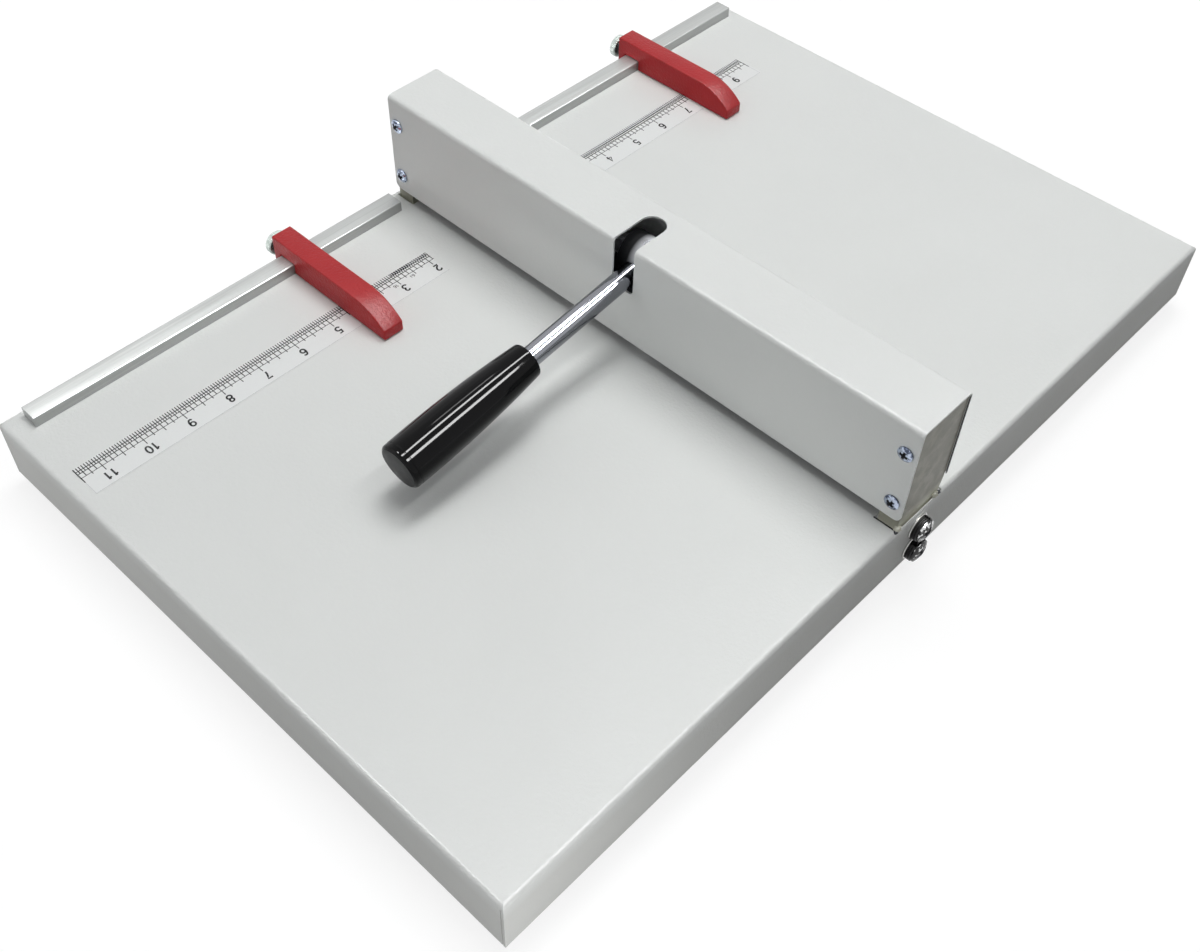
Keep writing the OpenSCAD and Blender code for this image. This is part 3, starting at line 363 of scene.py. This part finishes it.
def piece(name, form, mat, body, slot, replaces=(), sharp=32, bevel=0.0, smooth=True):
    """A visible piece that rides on a body; sharp is the angle from which edges stay crisp."""
    obj = mesh_object(name, [tuple(c * MM for c in v) for v in form[0]], form[1])
    obj.data.materials.append(mat)
    if bevel:
        m = obj.modifiers.new("edge", "BEVEL")
        m.width, m.segments = bevel * MM, BEVEL_STEPS
        m.limit_method, m.angle_limit = "ANGLE", BEVEL_FROM
        bake(obj)
    if smooth:
        obj.data.polygons.foreach_set("use_smooth", [True] * len(obj.data.polygons))
        obj.data.set_sharp_from_angle(angle=math.radians(sharp))
    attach(obj, body)
    if replaces:
        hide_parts(*replaces)
    return obj


# Screws with a domed head and a tapered cross recess. Shares are of the blades' width and
# length at their foot and top, and of the head's radius and height
BLADE_SHARES = (0.32, 0.26), (0.56, 0.56)
CROSS_WIDTH, CROSS_LENGTH, CROSS_DEPTH = 0.40, 1.30, 0.55
RIM_SHARE, DOME_SHARE, DOME_STEPS = 0.4, 0.985, 10


def cross(width, length, depth, z):
    """Cutter of a cross recess: two tapered blades from height z + 1 down to z - depth."""
    low, high = ((width * a, length * b) for a, b in BLADE_SHARES)
    verts = [(x, y, h) for (a, b), h in ((low, z - depth), (high, z + 1))
             for x, y in ((-b, -a), (b, -a), (b, a), (-b, a))]
    return placed((verts, BOX_FACES),
                  [Matrix.Rotation(math.radians(turn), 4, "Z") for turn in (0, 90)])


def thread(first, run, n, crest, root, rise):
    """Profile of n ridges that follow each other over a run."""
    out = []
    for i in range(n):
        z = first + run * i / n
        out += [(crest, z), (root, z + rise)]
    return out


def domed_screw(thread_r, thread_l, head_r, head_h):
    """A screw along Z, its head on 0, and the faces in its recess and under its rim, which get a
    painted shade.
    """
    pitch, depth, rise, plain = 0.9, 0.32, 0.4, 0.5
    flat = head_h * RIM_SHARE
    dome = head_h - flat
    big = (head_r ** 2 + dome ** 2) / (2 * dome)
    edge = math.asin(head_r * DOME_SHARE / big)
    top = [(big * math.sin(a), head_h - big + big * math.cos(a))
           for a in [edge * (1 - i / DOME_STEPS) for i in range(DOME_STEPS)]]
    profile = [(0, -thread_l), (thread_r - plain, -thread_l)] + thread(
        -thread_l + plain, thread_l - 2 * plain, int(thread_l / pitch),
        thread_r, thread_r - depth, rise)
    profile += [(thread_r, -0.4), (thread_r, 0), (head_r - 0.25, 0), (head_r, 0.25),
                (head_r, flat - 0.2)] + top + [(0, head_h)]
    form = cut(lathe(profile, 48), cross(head_r * CROSS_WIDTH, head_r * CROSS_LENGTH,
                                         head_h * CROSS_DEPTH, head_h - 0.25))
    shaded_faces = set()
    for i, f in enumerate(form[1]):
        mid = sum((Vector(form[0][k]) for k in f), Vector()) / len(f)
        r = math.hypot(mid.x, mid.y)
        skin = head_h - big + math.sqrt(big * big - r * r)
        # Faces in the recess and under the rim get a painted shade
        in_recess = r < head_r * 0.7 and head_h * 0.2 < mid.z < skin - 0.12
        under_rim = r > head_r * 0.8 and -0.1 < mid.z < flat * 0.5
        if in_recess or under_rim:
            shaded_faces.add(i)
    return form, shaded_faces


def darken(obj, form, shaded_faces):
    """Gives the faces in the recess and under the rim of every placed screw a painted shade."""
    obj.data.materials.append(PAINTED_SHADE)
    for i, poly in enumerate(obj.data.polygons):
        if i % len(form[1]) in shaded_faces:
            poly.material_index = 1


cover_lo, cover_hi = box("housing_cover")
bed_lo, bed_hi = box("bed_pan")
plate_lo, plate_hi = box("right_side_plate")
# Heights of the screws over and under the bed; each screw stands at a turn of its own
COVER_SCREWS_UP, SIDE_SCREWS_DOWN = (18.6, 55), (12, 29)
screw, shaded_faces = domed_screw(thread_r=2.5, thread_l=9, head_r=4.5, head_h=2.4)
spots = []
for i, x in enumerate((centre("left_side_plate").x, centre("right_side_plate").x)):
    for j, height in enumerate(COVER_SCREWS_UP):
        spots.append(at(x, cover_lo.y, BED_Z + height, (0, -1, 0), 20 + 37 * i + 25 * j))
        spots.append(at(x, cover_hi.y, BED_Z + height, (0, 1, 0), 5 + 31 * i + 40 * j))
cover_set = piece("cover_screw_set", placed(screw, spots), MATS["zinc"], "base", "zinc",
                  ["cover_screws"], sharp=40)
darken(cover_set, screw, shaded_faces)

# Side screws on a split spring washer of three turns and a flat washer
screw, shaded_faces = domed_screw(thread_r=3, thread_l=12, head_r=6.9, head_h=3.05)
ring_section = [(3.3, 0), (7.1, 0.06), (7.4, 0.3), (7.4, 0.85), (6.8, 1.1), (6.8, 1.2), (7.4, 1.45),
                (7.4, 2.05), (6.8, 2.3), (6.8, 2.4), (7.4, 2.65), (7.4, 3.1), (7.1, 3.38),
                (3.3, 3.45)]
RING_STEPS, RING_FROM, RING_SWEEP = 60, 8, 344
ring_v, ring_f = [], []
for i in range(RING_STEPS + 1):
    a = math.radians(RING_FROM + RING_SWEEP * i / RING_STEPS)
    ring_v += [(r * math.cos(a), r * math.sin(a), z) for r, z in ring_section]
k = len(ring_section)
for i in range(RING_STEPS):
    ring_f += [(i * k + j, i * k + (j + 1) % k, (i + 1) * k + (j + 1) % k, (i + 1) * k + j)
               for j in range(k)]
ring_f += [tuple(range(k)), tuple(RING_STEPS * k + j for j in range(k))]
flat_ring = lathe([(3.25, 0.15), (3.4, 0), (7.8, 0), (8.0, 0.2), (8.0, 1.0), (7.8, 1.2),
                   (3.4, 1.2), (3.25, 1.05), (3.25, 0.15)])
# Each set by its form and by how far it stands out from the flange
for name, form, out, slot, cad, mat in (
        ("side_screw_set", screw, 4.65, "zinc", "flange_screws", CHROME),
        ("lock_washer_set", (ring_v, ring_f), 1.2, "black_steel", "spring_washers",
         MATS["black_steel"]),
        ("flat_washer_set", flat_ring, 0, "bright_washer", "flat_washers",
         MATS["bright_washer"])):
    spots = []
    for j, drop in enumerate(SIDE_SCREWS_DOWN):
        spots.append(at(bed_lo.x - out, CREASE, BED_Z - drop, (-1, 0, 0), 30 + 50 * j))
        spots.append(at(bed_hi.x + out, CREASE, BED_Z - drop, (1, 0, 0), 65 + 50 * j))
    made = piece(name, placed(form, spots), mat, "base", slot, [cad], sharp=40)
    if cad == "flange_screws":
        darken(made, form, shaded_faces)

# Bright metal strip along the edge of the bed's slot for the right plate, which follows the bed's
# fold: a painted highlight on that edge
FOLD_R, EDGE_GAP, EDGE_RISE = 2.6, 0.7, 0.02
EDGE_ACROSS, EDGE_STEP = 7, 1.2
EDGE_ALONG, EDGE_OVER = 24, 1.0
edge_x = plate_hi.x + EDGE_GAP
fold_x, fold_z = bed_hi.x - FOLD_R, BED_Z - FOLD_R
spine = []
for i in range(EDGE_ACROSS):
    a = math.acos((edge_x - fold_x) / FOLD_R) - math.radians(EDGE_STEP * i)
    spine.append((fold_x + (FOLD_R + EDGE_RISE) * math.cos(a),
                  fold_z + (FOLD_R + EDGE_RISE) * math.sin(a)))
edge_l = plate_hi.y - plate_lo.y + 2 * EDGE_OVER
verts = [(x, plate_lo.y - EDGE_OVER + edge_l * i / EDGE_ALONG, z)
         for i in range(EDGE_ALONG + 1) for x, z in spine]
n = EDGE_ACROSS
faces = [(i * n + k, i * n + k + 1, i * n + k + 1 + n, i * n + k + n)
         for i in range(EDGE_ALONG) for k in range(n - 1)]
piece("slot_edge_painted_highlight", (verts, faces), MATS["bright_washer"], "base", "bright_washer")

# Uneven weld beads, and painted shade: dark blocks and spots in the gaps at the slot's ends and
# along the cover's rear edge
BEAD_R, SPOT_SHARE = 1.9, 0.62
slot_front = plate_lo.y - 1.8
bead_v, bead_f = lathe([(0, -BEAD_R)] + oval(0, 0, BEAD_R, BEAD_R, -75, 75, 10) + [(0, BEAD_R)], 24)
bead = [(x * (1 + 0.12 * math.sin(3 * y + 2 * z)), y * (1.25 + 0.1 * math.sin(4 * x)), z)
        for x, y, z in bead_v], bead_f
beads = [Matrix.Translation((plate_hi.x + 0.1, plate_lo.y + 0.3, BED_Z + 0.3)),
         Matrix.Translation((plate_hi.x + 0.2, plate_hi.y - 5.0, BED_Z + 0.3))]
piece("slot_beads", placed(bead, beads), BEAD, "base", "olive_plate")
spots = [Matrix.Translation((fold_x + 1.4, y, BED_Z - 0.5)) @ Matrix.Scale(SPOT_SHARE, 4)
         for y in (slot_front + 0.2, plate_hi.y - 1.6)]
slot_painted_shade = block(plate_lo.x - 1.6, edge_x, slot_front - 0.25, slot_front + 0.75,
                 BED_Z - 0.5, BED_Z + 0.04)
cover_edge_painted_shade = block(cover_hi.x - 0.4, cover_hi.x + 0.04, cover_hi.y - 1.2, cover_hi.y - 0.3,
                  BED_Z + 13, cover_hi.z - 2)
piece("gap_painted_shade", joined([slot_painted_shade, cover_edge_painted_shade, placed(bead, spots)]), PAINTED_SHADE, "base",
      "black_steel")

# Lever: rod and grip turned about the lever's axis
REST = math.radians(8)
lever = at(MID_X, CREASE, SHAFT_Z, (0, -math.cos(REST), -math.sin(REST)))
rod = [(0, 7.2), (4.2, 7.2), (4.5, 7.5), (4.5, 12), (5.6, 12), (6, 12.4), (6, 60), (6, 100),
       (6, 143.5), (5.5, 144), (0, 144)]
piece("chrome_lever_rod", placed(lathe(rod, 96), [lever]), MATS["chrome_rod"], "lever",
      "chrome_rod", ["lever_rod"])

# The grip's profile counts from its end at the rod; its belly is at this share of its length
GRIP_START, GRIP_L = 94.0, 92
GRIP_R, GRIP_TAPER, GRIP_BELLY = 13.8, 3.6, 0.8
BARREL_FROM, BARREL_TO, BARREL_STEPS = 1.2, 87.2, 48


def grip_r(share):
    """The grip's radius at a share of its length."""
    u = (share - GRIP_BELLY) / GRIP_BELLY
    return GRIP_R - GRIP_TAPER * u * u


def on_lever(name, profile, seg, mat, replaces=()):
    """A turned piece of the grip."""
    turned = lathe([(r, GRIP_START + z) for r, z in profile], seg)
    piece(name, placed(turned, [lever]), mat, "lever", "black_grip", replaces)


barrel = [(grip_r(s / GRIP_L), s)
          for s in [BARREL_FROM + (BARREL_TO - BARREL_FROM) * i / BARREL_STEPS
                    for i in range(BARREL_STEPS + 1)]]
r_near, r_end = grip_r(0), grip_r(0.95)
on_lever("grip_barrel",
         [(6.05, 3), (6.05, 0.7), (6.6, 0.35), (7.6, 0), (r_near - 1.2, 0)]
         + oval(r_near - 1.05, 1.15, 1.15, 1.15, -80, 0, 6) + barrel
         + [(r_end - 0.28, 87.6), (r_end - 0.28, 88.0), (r_end - 0.05, 88.3)]
         + oval(r_end - 2.3, 89.6, 2.2, 2.2, 4, 66, 8)
         + [(r_end - 1.55, 91.75), (r_end - 1.75, 91.6)],
         128, MATS["black_grip"], ["lever_grip"])
on_lever("grip_end_face",
         [(r_end - 1.75, 91.6), (r_end - 1.9, 91.78), (r_end - 2.3, 91.86), (4, 91.9), (0, 91.92)],
         96, GRIP_END)

# Stops with a curved nose, fence bars sawn from flat stock, thumb screws with knurls
STOP_HALF_W, NOSE_L, NOSE_H, NOSE_STEPS = 7, 27, 7, 24
STOP_GAP, FENCE_EDGE = 0.4, 0.45
KNURLS, KNURL_D, KNURL_FROM_R = 48, 0.3, 7.2
KNOB = [(0, 0.35), (5.6, 0.35), (6.0, 0), (6.7, 0), (7.55, 0.7), (7.55, 3.9), (6.8, 4.6), (0, 4.6)]
COLLAR = [(2.6, 4.6), (5.0, 4.6), (5.2, 4.8), (5.2, 6.1), (4.95, 6.3), (5.2, 6.5), (5.2, 7.8),
          (5.0, 8.0), (2.6, 8.0)]


def stop_arm(side, y):
    """A stop that reaches over its fence bar and ends in a curved nose."""
    lo, hi = box(side + "_stop")
    fence_lo, fence_hi = box(side + "_fence")
    x0, x1, z = fence_lo.x - STOP_GAP, fence_hi.x + STOP_GAP, fence_hi.z + STOP_GAP
    drop = hi.z - BED_Z - NOSE_H
    big = (NOSE_L * NOSE_L + drop * drop) / (2 * drop)
    nose = [(hi.x - NOSE_L + s, hi.z - big + math.sqrt(big * big - s * s))
            for s in [NOSE_L * i / NOSE_STEPS for i in range(NOSE_STEPS + 1)]]
    outline = [(lo.x, lo.z), (x0, lo.z), (x0, z), (x1, z), (x1, lo.z), (hi.x, lo.z)]
    outline += nose[::-1] + [(lo.x, hi.z)]
    piece(side + "_stop_arm", extruded(outline, y - STOP_HALF_W, y + STOP_HALF_W),
          MATS["powder_red"], side + "_stop", "powder_red", [side + "_stop"], bevel=0.8, sharp=50)


def fence_bar(side):
    """A bar with broken upper edges."""
    a, b = (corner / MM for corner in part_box(side + "_fence"))
    c = FENCE_EDGE
    bar = [(a.x, a.z), (b.x, a.z), (b.x, b.z - c), (b.x - c, b.z), (a.x + c, b.z), (a.x, b.z - c)]
    piece(side + "_fence_bar", extruded(bar, a.y, b.y), MATS["fence_aluminium"], "base",
          "fence_aluminium", [side + "_fence"], bevel=0.12, sharp=20)


def thumb_screw(side, y):
    """A knurled head, a black collar and a thread."""
    body = side + "_thumb_screw"
    lo, hi = box(body)
    spot = [at(lo.x, y, centre(body).z, (1, 0, 0))]
    verts, faces = lathe(KNOB, 4 * KNURLS)
    knurled = []
    for x, yy, z in verts:
        r = math.hypot(x, yy)
        if r > KNURL_FROM_R:
            t = math.atan2(yy, x) * KNURLS / (2 * math.pi)
            r2 = r - KNURL_D * abs(2 * (t - math.floor(t)) - 1)
            x, yy = x * r2 / r, yy * r2 / r
        knurled.append((x, yy, z))
    piece(side + "_knob_head", placed((knurled, faces), spot), MATS["knurled_steel"], body,
          "knurled_steel", [body], sharp=25)
    piece(side + "_knob_collar", placed(lathe(COLLAR), spot), MATS["black_steel"], body,
          "black_steel")
    end = hi.x - lo.x
    pitch = 0.8
    shank = [(0, 4.7), (2.5, 4.7), (2.5, 8.2)]
    shank += thread(8.3, end - 8.9, int((end - 8.6) / pitch), 2.48, 2.15, 0.35)
    shank += [(2.3, end - 0.35), (1.9, end), (0, end)]
    piece(side + "_knob_thread", placed(lathe(shank, 40), spot), MATS["zinc"], body, "zinc")


for side in ("front", "rear"):
    stop_y = centre(side + "_stop").y
    stop_arm(side, stop_y)
    fence_bar(side)
    thumb_screw(side, stop_y)

# Strokes of the numerals in a box one high and 0.6 wide
STROKES = {
    "0": [oval(0.29, 0.5, 0.235, 0.45, 90, 450, 28)],
    "1": [[(0.10, 0.74), (0.20, 0.80), (0.28, 0.88), (0.34, 0.99)], [(0.34, 0.99), (0.34, 0.0)]],
    "2": [oval(0.29, 0.69, 0.24, 0.26, 170, -30)
          + [(0.36, 0.38), (0.16, 0.22), (0.05, 0.05), (0.56, 0.05)]],
    "3": [oval(0.27, 0.73, 0.21, 0.22, 165, -80), oval(0.27, 0.28, 0.25, 0.24, 90, -165)],
    "4": [[(0.41, 0.0), (0.41, 0.95), (0.03, 0.28), (0.58, 0.28)]],
    "5": [[(0.51, 0.94), (0.15, 0.94), (0.09, 0.50)] + oval(0.28, 0.32, 0.25, 0.27, 125, -160)],
    "6": [oval(0.30, 0.31, 0.235, 0.26, 180, 540, 26), oval(0.33, 0.42, 0.265, 0.53, 50, 190)],
    "7": [[(0.04, 0.94), (0.55, 0.94), (0.40, 0.66), (0.28, 0.36), (0.22, 0.0)]],
    "8": [oval(0.29, 0.735, 0.20, 0.21, 90, 450, 24), oval(0.29, 0.28, 0.24, 0.235, 90, 450, 26)],
}
STROKES["9"] = [[(0.6 - x, 1.0 - y) for x, y in line] for line in STROKES["6"]]
DIGIT_STEP, DIGIT_SIDE = 0.66, 0.03


def ribbon(line, w):
    """A flat strip of even width along a line."""
    left, right = [], []
    for i, (x, y) in enumerate(line):
        a, b = line[max(i - 1, 0)], line[min(i + 1, len(line) - 1)]
        if math.dist(line[0], line[-1]) < 1e-6 and i in (0, len(line) - 1):
            a, b = line[-2], line[1]
        n = Vector((a[1] - b[1], b[0] - a[0])).normalized() * w / 2
        left.append((x + n.x, y + n.y))
        right.append((x - n.x, y - n.y))
    k = len(line)
    return left + right, [(i, i + k, i + k + 1, i + 1) for i in range(k - 1)]


def digits(text, x, y, height, weight=0.185):
    """A number on the film whose top points along +X and which reads along -Y."""
    forms = []
    for i, c in enumerate(text):
        left = (i - len(text) / 2) * DIGIT_STEP + DIGIT_SIDE
        for line in STROKES[c]:
            verts, faces = ribbon(line, weight)
            forms.append(([(x + b * height, y - (a + left) * height, FILM_Z + DIGIT_RISE)
                           for a, b in verts], faces))
    return joined(forms)


# Inch scales: a film with rounded corners, hairline border, graduations and digits
INCH = 25.4
FILM_Z, FILM_CORNER = BED_Z + 0.15, 1.2
INK_RISE, LINE_RISE, DIGIT_RISE = 0.03, 0.02, 0.045
# Lines along the film and the outer end of its marks, counted from its outer edge
X_BASE, X_MID, X_LOW, X_OUT, X_END = 8.54, 5.2, 3.2, 0.4, 12.4
# Half widths of the lines along the film, and of the marks
BASE_W, LINE_W, BORDER_W = 0.2, 0.25, 0.07
LONG_W, SHORT_W, END_W = 0.27, 0.28, 0.3
FINE_W, WIDER_FINE_W, WIDER_FROM, REAR_FINE_W = 0.15, 0.2, 62, 0.1
# How much longer marks are at every so many 64ths of an inch
LONGER = ((16, 1.45), (32, 1.3), (64, 1.05))
SCALE_START, BORDER_IN = 46.9, 0.35
FINE_END = 3 * INCH - 0.5
# Numerals, and the two small numbers that name the fine divisions
NUMERAL_X, NUMERAL_H = 13.7, 5.9
SMALL_X, SMALL_H, SMALL_WEIGHT = 10.2, 2.4, 0.15
SMALL_AT = ("64", 66.5), ("16", 79.4)


def scale_marks(film_x, front, place, last):
    """Boxes of the inked marks, and of the finest marks between them."""
    def across(u0, u1, d, w):
        return film_x + u0, film_x + u1, place(d) - w, place(d) + w

    def along(u, w):
        ends = place(SCALE_START), place(last * INCH)
        return film_x + u - w, film_x + u + w, min(ends), max(ends)

    ticks = [along(X_BASE, BASE_W), along(X_MID, LINE_W), along(X_LOW, LINE_W)]
    finest = []
    for i in range(int(SCALE_START / INCH * 64) + 1, int(last * 64) + 1):
        d = i * INCH / 64
        fine = front and d < FINE_END
        if i % 8 == 0:
            reach = sum((more for every, more in LONGER if i % every == 0), X_BASE)
            ticks.append(across(X_MID, reach, d, LONG_W))
        if i % 4 == 0:
            ticks.append(across(X_LOW if fine else X_OUT, X_MID, d, SHORT_W))
        elif fine:
            half = FINE_W if d < WIDER_FROM else WIDER_FINE_W
            finest.append(across(X_OUT + 0.3, X_LOW, d, half))
        elif not front and i % 2 == 0:
            finest.append(across(X_OUT + 0.6, X_LOW, d, REAR_FINE_W))
    ticks.append(across(X_OUT, X_END, last * INCH, END_W))
    return ticks, finest


def printed(name, boxes, rise, mat):
    """Raised boxes on the film, open underneath."""
    form = joined([(block(*b, FILM_Z, FILM_Z + rise)[0], BOX_FACES[1:]) for b in boxes])
    piece(name, form, mat, "base", "scale_sticker", smooth=False)


def inch_scale(side, sign, last, numbers, zero):
    """One scale; last is where it ends in inches, zero how far it is off the crease."""
    def place(d):
        return CREASE + zero + sign * d

    lo, hi = box(side + "_scale")
    c = FILM_CORNER
    outline = []
    for cx, cy, a0 in ((hi.x - c, hi.y - c, 0), (lo.x + c, hi.y - c, 90),
                       (lo.x + c, lo.y + c, 180), (hi.x - c, lo.y + c, 270)):
        outline += oval(cx, cy, c, c, a0, a0 + 90, 6)
    n = len(outline)
    verts = [(x, y, z) for z in (BED_Z, FILM_Z) for x, y in outline]
    faces = [tuple(range(n, 2 * n))] + [(i, (i + 1) % n, (i + 1) % n + n, i + n) for i in range(n)]
    piece(side + "_scale_film", (verts, faces), MATS["scale_sticker"], "base", "scale_sticker",
          [side + "_scale"])
    front = side == "front"
    ticks, finest = scale_marks(lo.x, front, place, last)
    printed(side + "_scale_ticks", ticks + (finest if front else []), INK_RISE, INK)
    end = place(last * INCH)
    border = [(hi.x - 0.5, hi.x - BORDER_IN) + ticks[0][2:],
              (lo.x + X_OUT, hi.x - BORDER_IN, end - BORDER_W, end + BORDER_W)]
    printed(side + "_scale_border", border + ([] if front else finest), LINE_RISE, HAIRLINE)
    marks = [(str(k), lo.x + NUMERAL_X, place(k * INCH), NUMERAL_H) for k in numbers]
    marks += [(text, lo.x + SMALL_X, place(d), SMALL_H, SMALL_WEIGHT) for text, d in SMALL_AT]
    piece(side + "_scale_digits", joined([digits(*m) for m in marks]), INK, "base",
          "scale_sticker", smooth=False)


inch_scale("front", -1, 11.5, range(2, 12), 1.5)
inch_scale("rear", 1, 9.75, range(2, 10), 0.0)

# Floor, world and lamps, in metres
FLOOR_HALF, FLOOR_Z = 6, -0.0003
floor_mesh = bpy.data.meshes.new("floor")
floor_mesh.from_pydata([(x, y, FLOOR_Z) for x, y in (
    (-FLOOR_HALF, -FLOOR_HALF), (FLOOR_HALF, -FLOOR_HALF),
    (FLOOR_HALF, FLOOR_HALF), (-FLOOR_HALF, FLOOR_HALF))], [], [(0, 1, 2, 3)])
floor = bpy.data.objects.new("floor", floor_mesh)
scene.collection.objects.link(floor)


def seen_apart(tree, giving, seen):
    """A shader that gives one light to matt surfaces and shows another.

    The other one is for rays of the camera, of gloss and of glass.
    """
    path = tree.nodes.new("ShaderNodeLightPath")
    total = path.outputs["Is Camera Ray"]
    for ray in ("Is Glossy Ray", "Is Transmission Ray"):
        add = tree.nodes.new("ShaderNodeMath")
        add.operation, add.use_clamp = "ADD", True
        tree.links.new(total, add.inputs[0])
        tree.links.new(path.outputs[ray], add.inputs[1])
        total = add.outputs["Value"]
    pick = tree.nodes.new("ShaderNodeMixShader")
    tree.links.new(total, pick.inputs["Fac"])
    tree.links.new(giving, pick.inputs[1])
    tree.links.new(seen, pick.inputs[2])
    return pick.outputs["Shader"]


# The floor keeps its shadows near the part and turns plain white further out
floor_mat = bpy.data.materials.new("floor_white")
floor_mat.use_nodes = True
t = floor_mat.node_tree
t.nodes.remove(t.nodes["Principled BSDF"])
dim = node(t, "ShaderNodeBsdfDiffuse", Color=(0.25, 0.25, 0.25, 1))
white = node(t, "ShaderNodeBsdfDiffuse", Color=(0.22, 0.22, 0.22, 1))
glow = node(t, "ShaderNodeEmission", Color=(1, 1, 1, 1))
reach = t.nodes.new("ShaderNodeVectorMath")
reach.operation = "LENGTH"
t.links.new(t.nodes.new("ShaderNodeTexCoord").outputs["Object"], reach.inputs[0])
t.links.new(ranged(t, reach.outputs["Value"], 0.82, 1.0, 0.45, 1.3), glow.inputs["Strength"])
lit = t.nodes.new("ShaderNodeAddShader")
t.links.new(white.outputs["BSDF"], lit.inputs[0])
t.links.new(glow.outputs["Emission"], lit.inputs[1])
t.links.new(seen_apart(t, dim.outputs["BSDF"], lit.outputs["Shader"]),
            t.nodes["Material Output"].inputs["Surface"])
floor_mesh.materials.append(floor_mat)

# The room is white to the eye, and lights the part more from the left than from the right
world = bpy.data.worlds.new("studio")
scene.world = world
world.use_nodes = True
t = world.node_tree
soft = t.nodes["Background"]
soft.inputs["Color"].default_value = (0.97, 0.98, 1.0, 1)
ways = t.nodes.new("ShaderNodeSeparateXYZ")
t.links.new(t.nodes.new("ShaderNodeTexCoord").outputs["Generated"], ways.inputs["Vector"])
t.links.new(ranged(t, ways.outputs["X"], 0.50, 0.14, -1.0, 1.0), soft.inputs["Strength"])
bright = node(t, "ShaderNodeBackground", Color=(1, 1, 1, 1), Strength=1.0)
t.links.new(seen_apart(t, soft.outputs["Background"], bright.outputs["Background"]),
            t.nodes["World Output"].inputs["Surface"])


def lamp(name, place, target, size, power, reaches="all"):
    """A soft lamp for all surfaces or only for "matt" or "gloss"; size[0] runs along Y."""
    data = bpy.data.lights.new(name, "AREA")
    data.shape, data.size, data.size_y = "RECTANGLE", size[0], size[1]
    data.energy = power
    obj = bpy.data.objects.new(name, data)
    back = (Vector(place) - Vector(target)).normalized()
    side = (Vector((0, 1, 0)) - back * back.y).normalized()
    turn = Matrix((side, back.cross(side), back)).transposed()
    obj.matrix_world = Matrix.Translation(place) @ turn.to_4x4()
    obj.visible_camera = False
    obj.visible_diffuse, obj.visible_glossy = reaches != "gloss", reaches != "matt"
    scene.collection.objects.link(obj)


# Two ceiling tubes along the lever, with their glints in glossy surfaces apart
lamp("tube_left", (-0.15, 0.31, 1.78), (-0.05, 0.10, 0.0), (1.0, 0.40), 14.6, "matt")
lamp("tube_right", (0.62, 0.30, 1.62), (0.0, 0.0, 0.05), (1.1, 0.14), 4.4, "matt")
lamp("glint_left", (0.06, 0.35, 1.62), (0.06, 0.35, 0.0), (1.9, 0.18), 62.0, "gloss")
lamp("glint_right", (0.88, 0.20, 1.50), (0.0, 0.0, 0.08), (0.9, 0.28), 48.0, "gloss")
lamp("side", (-0.50, 0.32, 1.62), (0.1, -0.2, 0.05), (0.3, 0.1), 1.5)
# Sheens on the fence bars and on the cover's fold
lamp("bar_sheen", (-1.75, 0.55, 1.60), (-0.18, -0.18, 0.06), (0.5, 0.5), 0.15, "gloss")
lamp("fold_sheen", (-0.56, -0.48, 1.60), (0.0, 0.0, 0.10), (0.3, 0.3), 26.0, "gloss")
# Light on the faces towards the camera, and low light on the flanges
lamp("fill", (-1.0, -1.3, 0.8), (0, 0, 0.05), (0.8, 0.8), 1.8)
lamp("corner", (0.34, -0.34, 0.036), (0.20, -0.31, 0.03), (0.16, 0.05), 0.16, "matt")
lamp("front_low", (-0.25, -0.62, 0.03), (0.0, -0.30, 0.03), (0.3, 0.05), 0.22, "matt")
